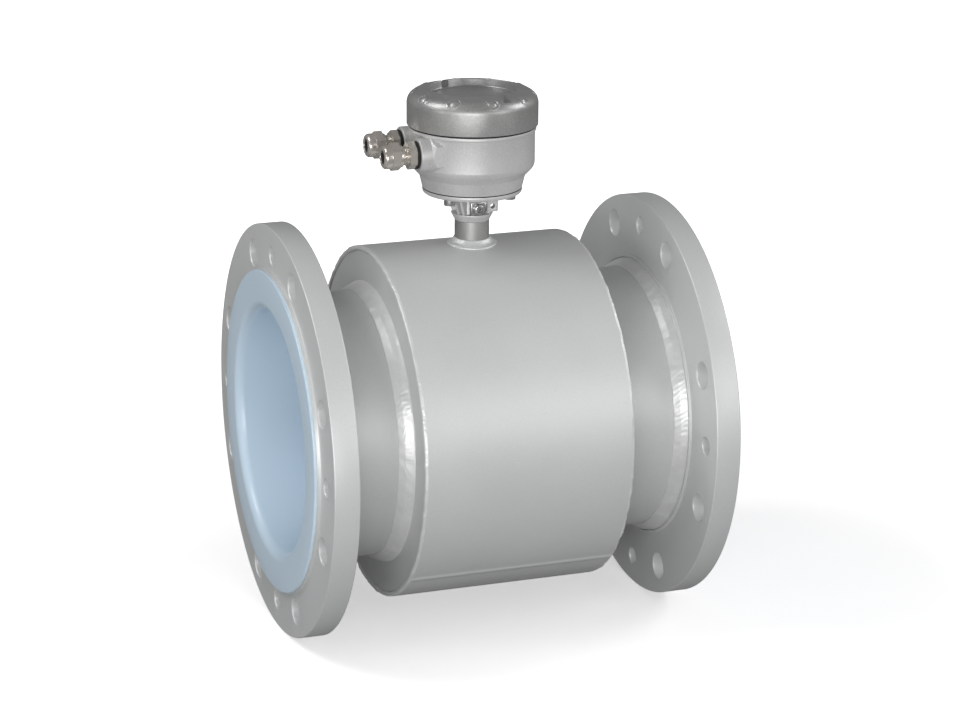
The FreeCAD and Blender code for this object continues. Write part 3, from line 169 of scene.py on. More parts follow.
def ring(
    axis: Axis,
    radii: tuple[float, float],
    ends: tuple[float, float],
    steps: int,
    rounding: float = 0.0,
    fine: float = 0.0,
) -> bmesh.types.BMesh:
    """Plain ring or tube about an axis.

    Args:
        axis: Axis of the ring.
        radii: Inner and outer radius.
        ends: Start and end along the axis.
        steps: Divisions round the axis.
        rounding: Rounding of the outer edges.
        fine: Longest profile edge wanted, or 0 for any length.

    Returns:
        Closed mesh.
    """
    (inner, outer), (start, end) = radii, ends
    return turned(axis, [
        Corner(inner, start), Corner(outer, start, rounding, 3), Corner(outer, end, rounding, 3),
        Corner(inner, end)], steps, lambda radius, along: fine)


def refine(bm: bmesh.types.BMesh, axis: Axis, fine: Callable[[float, float], float]) -> None:
    """Divide a profile's long edges where fine asks for it."""
    for edge in bm.edges[:]:
        middle = (edge.verts[0].co + edge.verts[1].co) / 2 / MM
        along = middle[("X", "Y", "Z").index(axis.name)]
        radius = math.sqrt(max(middle.length_squared - along ** 2, 0.0))
        wanted = fine(radius, along)
        cuts = math.ceil(edge.calc_length() / MM / wanted) - 1 if wanted else 0
        if cuts > 0:
            bmesh.ops.subdivide_edges(bm, edges=[edge], cuts=cuts)


def hexagon_radius(flats: float) -> float:
    """Radius over the corners of a hexagon, from its distance across the flats."""
    return flats / 2 / math.cos(math.pi / 6)


def hexagon(
    axis: Axis,
    flats: float,
    start: float,
    end: float,
    corner_cut: float = 0.0,
) -> bmesh.types.BMesh:
    """Hexagon bar with turned-off corners, two of its flats facing up and down.

    Args:
        axis: Axis of the bar.
        flats: Distance across the flats.
        start: Where the bar begins along the axis.
        end: Where it ends.
        corner_cut: How far the corners are turned off.

    Returns:
        Closed mesh.
    """
    corner_r = hexagon_radius(flats)
    bm = bmesh.new()
    bmesh.ops.create_circle(bm, cap_ends=True, segments=6, radius=corner_r * MM)
    grown = bmesh.ops.extrude_face_region(bm, geom=bm.faces[:])
    tops = [item for item in grown["geom"] if isinstance(item, bmesh.types.BMVert)]
    bmesh.ops.translate(bm, verts=tops, vec=(0, 0, (end - start) * MM))
    bmesh.ops.translate(bm, verts=bm.verts, vec=(0, 0, start * MM))
    if axis is Axis.X:
        turn = Matrix.Rotation(math.pi / 2, 3, "Y") @ Matrix.Rotation(math.pi / 6, 3, "Z")
        bmesh.ops.rotate(bm, verts=bm.verts, cent=(0, 0, 0), matrix=turn)
    bmesh.ops.recalc_face_normals(bm, faces=bm.faces)
    if not corner_cut:
        return bm
    rim = corner_r - corner_cut
    turning = turned(axis, [
        Corner(0, start), Corner(rim, start), Corner(corner_r, start + corner_cut / 2),
        Corner(corner_r, end - corner_cut / 2), Corner(rim, end), Corner(0, end)], 96)
    return combined(bm, [turning], Join.KEEP)


def block(low: tuple[float, float, float], high: tuple[float, float, float]) -> bmesh.types.BMesh:
    """Box between two corners."""
    bm = bmesh.new()
    bmesh.ops.create_cube(bm, size=1.0)
    size = (Vector(high) - Vector(low)) * MM
    bmesh.ops.scale(bm, verts=bm.verts, vec=size)
    bmesh.ops.translate(bm, verts=bm.verts, vec=(Vector(low) + Vector(high)) / 2 * MM)
    return bm


def spun(bm: bmesh.types.BMesh, axis: Axis, degrees: float) -> bmesh.types.BMesh:
    """Copy of a mesh, turned about an axis through the origin."""
    copy = bm.copy()
    turn = Matrix.Rotation(math.radians(degrees), 3, Vector(axis.value))
    bmesh.ops.rotate(copy, verts=copy.verts, cent=(0, 0, 0), matrix=turn)
    return copy


def shifted(bm: bmesh.types.BMesh, x: float = 0.0, y: float = 0.0, z: float = 0.0) -> bmesh.types.BMesh:
    """The same mesh, moved by millimetres."""
    bmesh.ops.translate(bm, verts=bm.verts, vec=Vector((x, y, z)) * MM)
    return bm


def flipped_y(bm: bmesh.types.BMesh) -> bmesh.types.BMesh:
    """Copy of a mesh, mirrored front to back."""
    copy = bm.copy()
    bmesh.ops.scale(copy, verts=copy.verts, vec=(1, -1, 1))
    bmesh.ops.reverse_faces(copy, faces=copy.faces)
    return copy


def merged(meshes: Iterable[bmesh.types.BMesh]) -> bmesh.types.BMesh:
    """One mesh that holds several, left as separate shells."""
    whole = bmesh.new()
    for bm in meshes:
        data = bpy.data.meshes.new("part")
        bm.to_mesh(data)
        whole.from_mesh(data)
        bpy.data.meshes.remove(data)
    return whole


def combined(bm: bmesh.types.BMesh, others: Iterable[bmesh.types.BMesh], way: Join) -> bmesh.types.BMesh:
    """Combine a mesh with others by a boolean.

    Args:
        bm: Mesh that is cut, joined or kept.
        others: Meshes that cut it, join it or bound it, clear of one another.
        way: What is done.

    Returns:
        New mesh.
    """
    base = bpy.data.objects.new("work", bpy.data.meshes.new("work"))
    tool = bpy.data.objects.new("tool", bpy.data.meshes.new("tool"))
    bm.to_mesh(base.data)
    merged(others).to_mesh(tool.data)
    for item in (base, tool):
        bpy.context.scene.collection.objects.link(item)
    step = base.modifiers.new("boolean", "BOOLEAN")
    step.operation = way.value
    step.solver = "EXACT"
    step.object = tool
    graph = bpy.context.evaluated_depsgraph_get()
    result = bmesh.new()
    result.from_mesh(base.evaluated_get(graph).to_mesh())
    for item in (base, tool):
        data = item.data
        bpy.data.objects.remove(item)
        bpy.data.meshes.remove(data)
    return result


def rippled(
    bm: bmesh.types.BMesh,
    axis: Axis,
    moves: Callable[[float, float, float], float],
) -> bmesh.types.BMesh:
    """Push each vertex along its normal.

    Args:
        bm: Mesh to work on.
        axis: Axis the piece runs round.
        moves: Push in mm for an angle in radians, a radius and a place along the axis in mm.

    Returns:
        The same mesh.
    """
    bm.normal_update()
    pushes = []
    for vert in bm.verts:
        x, y, z = vert.co / MM
        along, a, b = {Axis.X: (x, y, z), Axis.Y: (y, x, z), Axis.Z: (z, x, y)}[axis]
        push = moves(math.atan2(b, a), math.hypot(a, b), along)
        pushes.append((vert, vert.normal * push * MM))
    for vert, push in pushes:
        vert.co += push
    return bm


def smooth_step(value: float, low: float, high: float) -> float:
    """Rise from 0 to 1 between low and high, level at both."""
    share = min(max((value - low) / (high - low), 0.0), 1.0)
    return share * share * (3 - 2 * share)


def bead_noise(
    angle: float,
    along: float,
    radius: float,
    pitch: float,
    seed: float,
) -> tuple[float, float]:
    """Ripple and slow unevenness of a hand-laid weld bead.

    Args:
        angle: Angle round the seam.
        along: Place across the bead in mm.
        radius: Radius of the seam in mm.
        pitch: Distance between ripples in mm.
        seed: Place in the noise.

    Returns:
        Ripple and unevenness, each about -1 to 1.
    """
    arc = angle * radius
    round_trip = Vector((math.cos(angle), math.sin(angle), 0.0)) * radius
    slow = noise.noise(round_trip / 22.0 + Vector((0, 0, seed)))
    lumps = noise.noise(round_trip / 7.0 + Vector((0, along / 9.0, seed + 5.0)))
    bend = 1.4 * noise.noise(round_trip / 11.0 + Vector((0, along / 5.0, seed + 9.0)))
    ripple = math.sin((arc + bend * pitch + 0.05 * along * along) / pitch * FULL_TURN)
    return ripple * (0.7 + 0.6 * slow), 0.6 * slow + 0.6 * lumps


# Materials


class Graph:
    """Adds and links nodes in one node tree."""

    def __init__(self, tree: bpy.types.NodeTree) -> None:
        """Start on a tree."""
        self.tree = tree

    def add(self, kind: str, inputs: dict | None = None, **settings: object) -> bpy.types.Node:
        """Add a node.

        Args:
            kind: Node type.
            inputs: Sockets to link, and values to set on sockets.
            **settings: Properties of the node.

        Returns:
            The new node.
        """
        node = self.tree.nodes.new(kind)
        for name, value in settings.items():
            setattr(node, name, value)
        self.feed(node, inputs or {})
        return node

    def feed(self, node: bpy.types.Node, inputs: dict) -> None:
        """Link or set a node's inputs."""
        for key, value in inputs.items():
            if isinstance(value, bpy.types.NodeSocket):
                self.tree.links.new(value, node.inputs[key])
            else:
                node.inputs[key].default_value = value

    def math(
        self,
        operation: str,
        first: object,
        second: object = 0.0,
        third: object = 0.0,
    ) -> bpy.types.NodeSocket:
        """Add a Math node and return its result."""
        return self.add("ShaderNodeMath", {0: first, 1: second, 2: third}, operation=operation).outputs[0]

    def noise(
        self,
        vector: object,
        scale: object,
        detail: float = 2.0,
        roughness: float = 0.5,
    ) -> bpy.types.NodeSocket:
        """Add a Noise node and return its value."""
        inputs = {"Vector": vector, "Scale": scale, "Detail": detail, "Roughness": roughness}
        return self.add("ShaderNodeTexNoise", inputs).outputs["Fac"]

    def group(self, tree: bpy.types.NodeTree, inputs: dict) -> bpy.types.Node:
        """Add a node group."""
        return self.add("ShaderNodeGroup", inputs, node_tree=tree)

    def spread(self, value: object) -> bpy.types.NodeSocket:
        """Stretch a noise value's middle over 0 to 1."""
        inputs = {"Value": value, "From Min": 0.3, "From Max": 0.7}
        return self.add("ShaderNodeMapRange", inputs).outputs[0]

    def mixed(self, factor: object, first: object, second: object) -> bpy.types.NodeSocket:
        """Mix two colours and return the result."""
        inputs = {0: factor, 6: first, 7: second}
        return self.add("ShaderNodeMix", inputs, data_type="RGBA").outputs[2]


def new_group(
    name: str,
    takes: dict[str, str],
    gives: dict[str, str],
) -> tuple[Graph, bpy.types.Node, bpy.types.Node]:
    """Start a shader node group.

    Args:
        name: Name of the group.
        takes: Input names and socket kinds.
        gives: Output names and socket kinds.

    Returns:
        A graph on the group's tree, its input node and its output node.
    """
    tree = bpy.data.node_groups.new(name, "ShaderNodeTree")
    for way, sockets in (("INPUT", takes), ("OUTPUT", gives)):
        for label, kind in sockets.items():
            tree.interface.new_socket(label, in_out=way, socket_type="NodeSocket" + kind)
    graph = Graph(tree)
    return graph, graph.add("NodeGroupInput"), graph.add("NodeGroupOutput")


def grain_group() -> bpy.types.NodeTree:
    """Fine grain of paint, casting or moulding, with slow clouding under it."""
    graph, start, end = new_group(
        "surface_grain", {"Vector": "Vector", "Grain": "Float", "Clouds": "Float"},
        {"Height": "Float", "Speck": "Float", "Cloud": "Float"})
    vector = start.outputs["Vector"]
    small = graph.noise(vector, start.outputs["Grain"], 3.0, 0.6)
    peel = graph.noise(vector, graph.math("MULTIPLY", start.outputs["Grain"], 0.3), 2.0)
    cloud = graph.noise(vector, start.outputs["Clouds"], 4.0, 0.6)
    height = graph.math("MULTIPLY_ADD", peel, 0.6, graph.math("MULTIPLY", small, 0.4))
    graph.feed(end, {"Height": height, "Speck": graph.spread(small), "Cloud": graph.spread(cloud)})
    return graph.tree


def scratch_group() -> bpy.types.NodeTree:
    """Fine scratches and handling marks."""
    graph, start, end = new_group(
        "handling_marks", {"Vector": "Vector", "Size": "Float", "Amount": "Float"}, {"Mask": "Float"})
    marks = []
    for tilt in ((0.3, 0.9, 0.1), (1.1, -0.4, 0.8)):
        inputs = {"Vector": start.outputs["Vector"], "Rotation": tilt, "Scale": (1, 14, 14)}
        turn = graph.add("ShaderNodeMapping", inputs)
        marks.append(graph.noise(turn.outputs[0], start.outputs["Size"], 1.0))
    both = graph.math("MAXIMUM", marks[0], marks[1])
    edge = graph.math("SUBTRACT", 0.78, graph.math("MULTIPLY", start.outputs["Amount"], 0.12))
    mask = graph.add("ShaderNodeMapRange", {"Value": both, "From Min": edge, "From Max": 0.82}).outputs[0]
    graph.feed(end, {"Mask": mask})
    return graph.tree


def turning_group() -> bpy.types.NodeTree:
    """Fine concentric lines of a turned face, round the X axis."""
    graph, start, end = new_group(
        "turning_lines", {"Vector": "Vector", "Lines": "Float"}, {"Height": "Float"})
    split = graph.add("ShaderNodeSeparateXYZ", {0: start.outputs["Vector"]})
    y, z = split.outputs["Y"], split.outputs["Z"]
    radius = graph.math("SQRT", graph.math("MULTIPLY_ADD", z, z, graph.math("MULTIPLY", y, y)))
    outwards = graph.add("ShaderNodeCombineXYZ", {0: radius}).outputs[0]
    lines = graph.noise(outwards, start.outputs["Lines"], 3.0, 0.7)
    graph.feed(end, {"Height": lines})
    return graph.tree


MARK_SCALE = 60.0
MARK_ROUGHNESS = 0.18
MARK_STRENGTH = 0.25
MARK_DARKNESS = 0.75
LINE_HEIGHT = 1.5
COAT_ROUGHNESS = 0.2


@dataclass(frozen=True)
class Finish:
    """A procedural surface finish.

    Colours are linear. Grain and clouds are noise scales per metre. Bumps are depths in millimetres.
    """

    name: str
    colour: tuple[float, float, float]
    shade: tuple[float, float, float]
    metallic: float = 0.0
    roughness: float = 0.5
    rough_spread: float = 0.08
    grain: float = 1800.0
    clouds: float = 14.0
    bump: float = 0.02
    speck: float = 0.0
    coat: float = 0.0
    scratches: float = 0.0
    lines: float = 0.0

    def build(self, groups: dict[str, bpy.types.NodeTree]) -> bpy.types.Material:
        """Make the material.

        Args:
            groups: Shared node groups by name.

        Returns:
            The new material.
        """
        material = bpy.data.materials.new(self.name)
        material.use_nodes = True
        material.node_tree.nodes.clear()
        graph = Graph(material.node_tree)
        place = graph.add("ShaderNodeTexCoord").outputs["Object"]
        grain = graph.group(
            groups["grain"], {"Vector": place, "Grain": self.grain, "Clouds": self.clouds})
        share = graph.math("MULTIPLY_ADD", grain.outputs["Speck"], self.speck,
                           graph.math("MULTIPLY", grain.outputs["Cloud"], 1.0 - self.speck))
        colour = graph.mixed(share, (*self.shade, 1.0), (*self.colour, 1.0))
        least = self.roughness - self.rough_spread / 2
        rough = graph.math("MULTIPLY_ADD", grain.outputs["Cloud"], self.rough_spread, least)
        if self.scratches:
            marks = graph.group(
                groups["scratch"], {"Vector": place, "Size": MARK_SCALE, "Amount": self.scratches})
            mask = marks.outputs["Mask"]
            rough = graph.math("MULTIPLY_ADD", mask, MARK_ROUGHNESS, rough)
            dark = (*[share * MARK_DARKNESS for share in self.colour], 1.0)
            colour = graph.mixed(graph.math("MULTIPLY", mask, MARK_STRENGTH), colour, dark)
        height = grain.outputs["Height"]
        if self.lines:
            turning = graph.group(groups["turning"], {"Vector": place, "Lines": self.lines})
            height = graph.math("MULTIPLY_ADD", turning.outputs["Height"], LINE_HEIGHT, height)
        depth = {"Height": height, "Distance": self.bump * MM, "Strength": 1.0}
        bump = graph.add("ShaderNodeBump", depth)
        shader = graph.add("ShaderNodeBsdfPrincipled", {
            "Base Color": colour, "Roughness": rough, "Metallic": self.metallic,
            "Normal": bump.outputs[0], "Coat Weight": self.coat, "Coat Roughness": COAT_ROUGHNESS})
        graph.add("ShaderNodeOutputMaterial", {"Surface": shader.outputs[0]})
        return material


FINISHES = (
    Finish("silver_paint", (0.70, 0.71, 0.71), (0.625, 0.635, 0.635), 0.3, 0.44, 0.05,
           1000.0, 9.0, 0.035, 0.6, scratches=0.2),
    # Lighter copy of the silver paint for the weld beads: the extra lightness is painted highlight, while
    # the lumpy grain is the beads' own.
    Finish("lit_weld_paint", (0.80, 0.805, 0.805), (0.68, 0.685, 0.685), 0.3, 0.42, 0.1,
           1500.0, 60.0, 0.05, 0.3),
    Finish("satin_casting", (0.67, 0.67, 0.665), (0.51, 0.51, 0.505), 0.42, 0.46, 0.08,
           1000.0, 25.0, 0.08, 0.7, scratches=0.1),
    Finish("cover_casting", (0.47, 0.47, 0.465), (0.30, 0.30, 0.295), 0.6, 0.4, 0.1,
           900.0, 40.0, 0.1, 0.75, scratches=0.1),
    # Darker, glossier copy of the silver paint for the neck: the gloss is its own finish, while the
    # darkening is painted shade under the head.
    Finish("shaded_neck_paint", (0.36, 0.36, 0.355), (0.28, 0.28, 0.275), 0.7, 0.5, 0.1,
           1100.0, 60.0, 0.06, 0.6),
    Finish("plated_brass", (0.72, 0.68, 0.63), (0.60, 0.56, 0.51), 0.7, 0.24, 0.08,
           900.0, 70.0, 0.006, 0.1, scratches=0.3),
    Finish("black_rubber", (0.01, 0.01, 0.0105), (0.016, 0.016, 0.0165), 0.0, 0.8, 0.1,
           2500.0, 60.0, 0.03, 0.4),
    Finish("plain_steel", (0.55, 0.55, 0.54), (0.45, 0.45, 0.44), 1.0, 0.28, 0.12,
           1200.0, 90.0, 0.01, 0.2, scratches=0.4),
    Finish("dark_iron", (0.16, 0.16, 0.165), (0.11, 0.11, 0.115), 0.8, 0.5, 0.15,
           900.0, 40.0, 0.04, 0.4),
    Finish("copper_winding", (0.55, 0.24, 0.11), (0.38, 0.15, 0.07), 0.9, 0.35, 0.1,
           700.0, 50.0, 0.08, 0.3, lines=1600.0),
    Finish("moulded_plastic", (0.06, 0.07, 0.075), (0.045, 0.055, 0.06), 0.0, 0.5, 0.08,
           2600.0, 40.0, 0.02, 0.4),
    Finish("lead_sheath", (0.45, 0.05, 0.04), (0.36, 0.04, 0.035), 0.0, 0.4, 0.08,
           1500.0, 60.0, 0.01, 0.2),
    Finish("blue_lining", (0.60, 0.73, 0.845), (0.57, 0.705, 0.82), 0.0, 0.34, 0.05,
           700.0, 8.0, 0.008, 0.15, coat=0.2),
)


EDGE_SHARP = 32.0
BEAD_SHARP = 60.0


class Workshop:
    """Turns finished meshes into pieces of the part."""

    def __init__(self) -> None:
        """Build the shared groups and every material."""
        groups = {"grain": grain_group(), "scratch": scratch_group(), "turning": turning_group()}
        self.materials = {finish.name: finish.build(groups) for finish in FINISHES}

    def piece(
        self,
        name: str,
        bm: bmesh.types.BMesh,
        body: str,
        slot: str,
        nodes: Iterable[str] = (),
        look: str = "",
        sharp: float = EDGE_SHARP,
    ) -> bpy.types.Object:
        """Make a piece of the part from a mesh.

        Args:
            name: Name of the piece.
            bm: Its mesh, freed here.
            body: Body it moves with.
            slot: Material slot of the record.
            nodes: Nodes it stands for.
            look: Finish, when it isn't the slot's own.
            sharp: Angle in degrees above which an edge is sharp.

        Returns:
            The new object.
        """
        data = bpy.data.meshes.new(name)
        bm.normal_update()
        bm.to_mesh(data)
        bm.free()
        data.shade_smooth()
        data.set_sharp_from_angle(angle=math.radians(sharp))
        data.materials.append(self.materials[look or slot])
        obj = bpy.data.objects.new(name, data)
        bpy.context.scene.collection.objects.link(obj)
        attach(obj, body)
        if nodes:
            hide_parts(*nodes)
        LOG.info("%s: %d faces", name, len(data.polygons))
        return obj

    def weld(self, name: str, bm: bmesh.types.BMesh, node: str, look: str = "lit_weld_paint") -> None:
        """Make a weld bead of the sensor in its silver paint; by default it gets a lighter copy of that
        paint, whose extra lightness is painted highlight.
        """
        self.piece(name, bm, "sensor", "silver_paint", [node], look, BEAD_SHARP)

    def steel(self, name: str, bm: bmesh.types.BMesh, node: str, look: str = "") -> None:
        """Make a piece of the sensor in its painted steel."""
        self.piece(name, bm, "sensor", "silver_paint", [node], look)

    def dress(self, node: bpy.types.Object, slot: str) -> None:
        """Give a node that keeps its own shape its material."""
        for place in node.material_slots:
            place.material = self.materials[slot]


# Sub-assemblies


@dataclass
class FlowTube:
    """Measuring tube, its liner, both flanges and their welds."""

    shop: Workshop
    tube_r: float = 109.55
    tube_wall: float = 4.5
    bore_r: float = 100.0
    face_x: float = 175.0
    raised_x: float = 173.0
    rim_front_x: float = 170.0
    rim_back_x: float = 149.0
    rim_r: float = 170.0
    raised_r: float = 134.0
    flare_r: float = 132.5
    entry_round: float = 8.0
    gap: float = 0.1
    ring_groove: float = 0.12
    ring_width: float = 2.6
    ring_height: float = 2.4
    bolt_circle_r: float = 147.5
    bolt_r: float = 11.0
    bolts: int = 8
    stud_r: float = 7.25
    studs: int = 4
    mouth: float = 0.8
    cutter_reach: float = 5.0
    fillet_along: float = 12.0
    fillet_out: float = 7.0
    fillet_steps: int = 640
    fillet_grid: float = 1.0
    fillet_pitch: float = 4.2
    steps: int = 256

    def build(self) -> None:
        """Make every piece."""
        flange = self.flange()
        for side, seed, turn in (("inlet", 3.0, 0), ("outlet", 17.0, 180)):
            self.shop.steel(side + "_flange_body", spun(flange, Axis.Z, turn), side + "_flange")
            weld = spun(self.fillet(-self.rim_back_x, 1, seed), Axis.Z, turn)
            self.shop.weld(side + "_flange_bead", weld, side + "_flange_weld")
        self.shop.steel("tube_wall", self.tube(), "measuring_tube")
        self.shop.piece("blue_liner", self.liner(), "sensor", "blue_lining", ["liner"])

    def flange(self) -> bmesh.types.BMesh:
        """Drilled inlet flange with a raised face and a low ring round its weld."""
        bore = self.tube_r + self.gap
        ring_in = bore + self.fillet_out + self.ring_groove
        ring_out = ring_in + self.ring_width
        back = -self.rim_back_x
        crest = back + self.ring_height
        disc = turned(Axis.X, [
            Corner(bore, -self.raised_x), Corner(self.raised_r, -self.raised_x, 0.3, 3),
            Corner(self.raised_r, -self.rim_front_x, 0.3, 2), Corner(self.rim_r, -self.rim_front_x, 1.0),
            Corner(self.rim_r, back, 1.0), Corner(ring_out, back, 0.6, 3),
            Corner(ring_out, crest, 0.9, 4), Corner(ring_in, crest, 0.8, 4), Corner(ring_in, back),
            Corner(bore, back)], self.steps)
        holes = self.holes(self.bolt_r, self.bolts, 180.0 / self.bolts)
        return combined(disc, holes + self.holes(self.stud_r, self.studs, 0.0), Join.CUT)

    def holes(self, radius: float, count: int, first: float) -> list[bmesh.types.BMesh]:
        """Cutters for one circle of flange holes, rounded over at both faces.

        Args:
            radius: Radius of each hole.
            count: Number of holes.
            first: Angle of the first one from straight up.

        Returns:
            One cutter for each hole.
        """
        mouth_r = radius + self.mouth
        front, back = -self.rim_front_x, -self.rim_back_x
        before, behind = front - self.cutter_reach, back + self.cutter_reach
        cutter = turned(Axis.X, [
            Corner(0, before), Corner(mouth_r, before), Corner(mouth_r, front),
            Corner(radius, front + self.mouth, 0.5, 3), Corner(radius, back - self.mouth, 0.5, 3),
            Corner(mouth_r, back), Corner(mouth_r, behind), Corner(0, behind)], 48)
        shifted(cutter, z=self.bolt_circle_r)
        return [spun(cutter, Axis.X, first + step * 360.0 / count) for step in range(count)]

    def fillet(self, face_x: float, way: int, seed: float) -> bmesh.types.BMesh:
        """Hand-laid fillet weld round the tube, seated on a face.

        Args:
            face_x: Place of the face.
            way: Direction the bead runs from it.
            seed: Place in the noise.

        Returns:
            Mesh of the bead.
        """
        root = self.tube_r + self.gap
        out, end = self.fillet_out, face_x + way * self.fillet_along
        bead = turned(Axis.X, [
            Corner(root, face_x), Corner(root + out, face_x),
            Corner(root + out, face_x + way * 0.9, 0.6, 3),
            Corner(root + out * 0.62, face_x + way * self.fillet_along * 0.6, 6.0, 8),
            Corner(root + 0.9, end, 0.6, 3), Corner(root, end)],
            self.fillet_steps, lambda radius, along: self.fillet_grid)

        def push(angle: float, radius: float, along: float) -> float:
            """Bead surface in mm, still where it is seated."""
            off = along - face_x
            free = smooth_step(radius, root + 0.2, root + 1.2) * smooth_step(abs(off), 0.2, 1.4)
            ripple, lumps = bead_noise(angle, off, radius, self.fillet_pitch, seed)
            return free * (0.12 * ripple + 0.5 * lumps - 0.1)

        return rippled(bead, Axis.X, push)

    def tube(self) -> bmesh.types.BMesh:
        """Steel tube between the flange faces."""
        radii = (self.tube_r - self.tube_wall, self.tube_r)
        return ring(Axis.X, radii, (-self.raised_x, self.raised_x), self.steps, fine=20.0)

    def liner(self) -> bmesh.types.BMesh:
        """Lining with a flare over each raised face and a rounded entry."""
        outer = self.tube_r - self.tube_wall - self.gap
        ends = []
        for end in (-1, 1):
            ends.append([
                Corner(self.bore_r, end * self.face_x, self.entry_round, 14),
                Corner(self.flare_r, end * self.face_x, 0.8),
                Corner(self.flare_r, end * self.raised_x), Corner(outer, end * self.raised_x)])
        return turned(Axis.X, ends[0] + ends[1][::-1], self.steps, lambda radius, along: 12.0)


@dataclass
class CoilHousing:
    """Rolled shell, end plates, their welds, and the neck."""

    shop: Workshop
    tube: FlowTube
    outer_r: float = 145.5
    inner_r: float = 142.5
    plate_x: float = 87.0
    plate_thickness: float = 5.0
    shell_x: float = 86.0
    shell_steps: int = 320
    gap: float = 0.1
    seam_half_width: float = 3.0
    seam_pitch: float = 3.6
    seam_angle: float = 135.0
    edge_width: float = 4.8
    edge_height: float = 1.8
    edge_steps: int = 900
    edge_pitch: float = 3.4
    neck_r: float = 14.25
    neck_wall: float = 2.5
    neck_depth: float = 3.6
    neck_top: float = 165.5
    neck_bead_reach: float = 20.5
    neck_bead_height: float = 5.5

    def build(self) -> None:
        """Make every piece."""
        self.shop.steel("rolled_shell", self.shell(), "housing_shell")
        plate = self.plate()
        for side, seed, turn in (("inlet", 31.0, 0), ("outlet", 47.0, 180)):
            self.shop.steel(side + "_plate", spun(plate, Axis.Z, turn), side + "_end_plate")
            edge = spun(self.edge_bead(seed), Axis.Z, turn)
            self.shop.weld(side + "_edge_bead", edge, side + "_edge_weld")
            root = spun(self.tube.fillet(-self.plate_x, -1, seed + 3), Axis.Z, turn)
            self.shop.weld(side + "_plate_bead", root, side + "_plate_weld")
        # The neck gets a darkened copy of the paint: painted shade under the head.
        self.shop.steel("neck_pipe", self.neck(), "neck_tube", "shaded_neck_paint")
        self.shop.weld("neck_bead", self.neck_bead(), "neck_weld", "silver_paint")

    def shell(self) -> bmesh.types.BMesh:
        """Rolled shell with a lengthwise seam and the neck's hole."""
        shell = ring(
            Axis.X, (self.inner_r, self.outer_r), (-self.shell_x, self.shell_x), self.shell_steps)
        hole = rod(Axis.Z, self.neck_r + self.gap, 60, 160, 64)
        return combined(combined(shell, [self.seam()], Join.ADD), [hole], Join.CUT)

    def seam(self) -> bmesh.types.BMesh:
        """Low bead along the shell, low at the front."""
        bead = bmesh.new()
        bmesh.ops.create_grid(bead, x_segments=260, y_segments=12, size=1.0)
        waves = self.shell_x / self.seam_pitch * FULL_TURN
        for vert in bead.verts:
            across, along = vert.co.y, vert.co.x
            wave = 0.12 * math.sin(along * waves + across * across * 1.4)
            crown = (0.75 + wave * (1 - across ** 2)) * (1 - across ** 2) + 0.05
            level = self.outer_r - 0.1 + crown
            vert.co = Vector((along * self.shell_x, across * self.seam_half_width, level)) * MM
        grown = bmesh.ops.extrude_face_region(bead, geom=bead.faces[:])
        lows = [item for item in grown["geom"] if isinstance(item, bmesh.types.BMVert)]
        for vert in lows:
            vert.co.z = (self.outer_r - 1.5) * MM
        bmesh.ops.recalc_face_normals(bead, faces=bead.faces)
        return spun(bead, Axis.X, self.seam_angle)

    def plate(self) -> bmesh.types.BMesh:
        """Annular plate between tube and shell."""
        radii = (self.tube.tube_r + self.gap, self.inner_r - self.gap)
        return ring(Axis.X, radii, (-self.plate_x, -self.plate_x + self.plate_thickness), 256)

    def edge_bead(self, seed: float) -> bmesh.types.BMesh:
        """Bead that joins the end plate to the shell's end."""
        inner = self.outer_r - self.edge_width
        crest = -self.plate_x - self.edge_height
        bead = turned(Axis.X, [
            Corner(self.outer_r, -self.shell_x), Corner(self.outer_r, crest, 1.7, 6),
            Corner(inner + 1.2, crest, 1.8, 6), Corner(inner, -self.plate_x, 0.3, 2),
            Corner(self.inner_r, -self.plate_x), Corner(self.inner_r, -self.shell_x)],
            self.edge_steps, lambda radius, along: 0.9)

        def push(angle: float, radius: float, along: float) -> float:
            """Bead surface in mm, still on the plate and the shell."""
            free = smooth_step(-along, self.shell_x + 0.1, self.shell_x + 1.0)
            ripple, lumps = bead_noise(angle, radius - inner, self.outer_r, self.edge_pitch, seed)
            return free * (0.22 * ripple + 0.85 * lumps - 0.3)

        return rippled(bead, Axis.X, push)

    def neck(self) -> bmesh.types.BMesh:
        """Short tube that carries the head."""
        inner = self.neck_r - self.neck_wall
        low = self.inner_r - self.neck_depth
        return turned(Axis.Z, [
            Corner(inner, low), Corner(self.neck_r, low), Corner(self.neck_r, self.neck_top, 0.4, 3),
            Corner(inner, self.neck_top)], 128)

    def neck_bead(self) -> bmesh.types.BMesh:
        """Weld round the foot of the neck, laid on the curved shell."""
        root, reach = self.neck_r + self.gap, self.neck_bead_reach
        crown = self.outer_r
        top = crown + self.neck_bead_height
        bead = turned(Axis.Z, [
            Corner(root, crown - 8), Corner(reach, crown - 8), Corner(reach, crown + 0.9, 0.5, 3),
            Corner(root + 2.4, crown + 2.6, 4.5, 6), Corner(root + 0.9, top, 0.5, 3), Corner(root, top)],
            256, lambda radius, along: 0.8)
        for vert in bead.verts:
            y = vert.co.y / MM
            vert.co.z -= (crown - math.sqrt(crown ** 2 - y ** 2)) * MM
        shell = rod(Axis.X, crown - 0.02, -60, 60, self.shell_steps)

        def push(angle: float, radius: float, along: float) -> float:
            """Bead surface in mm, still along the neck."""
            free = smooth_step(radius, root + 0.1, root + 0.9)
            ripple, lumps = bead_noise(angle, radius - root, 17.0, 3.0, 71.0)
            return free * (0.1 * ripple + 0.34 * lumps - 0.12)

        return combined(rippled(bead, Axis.Z, push), [shell], Join.CUT)


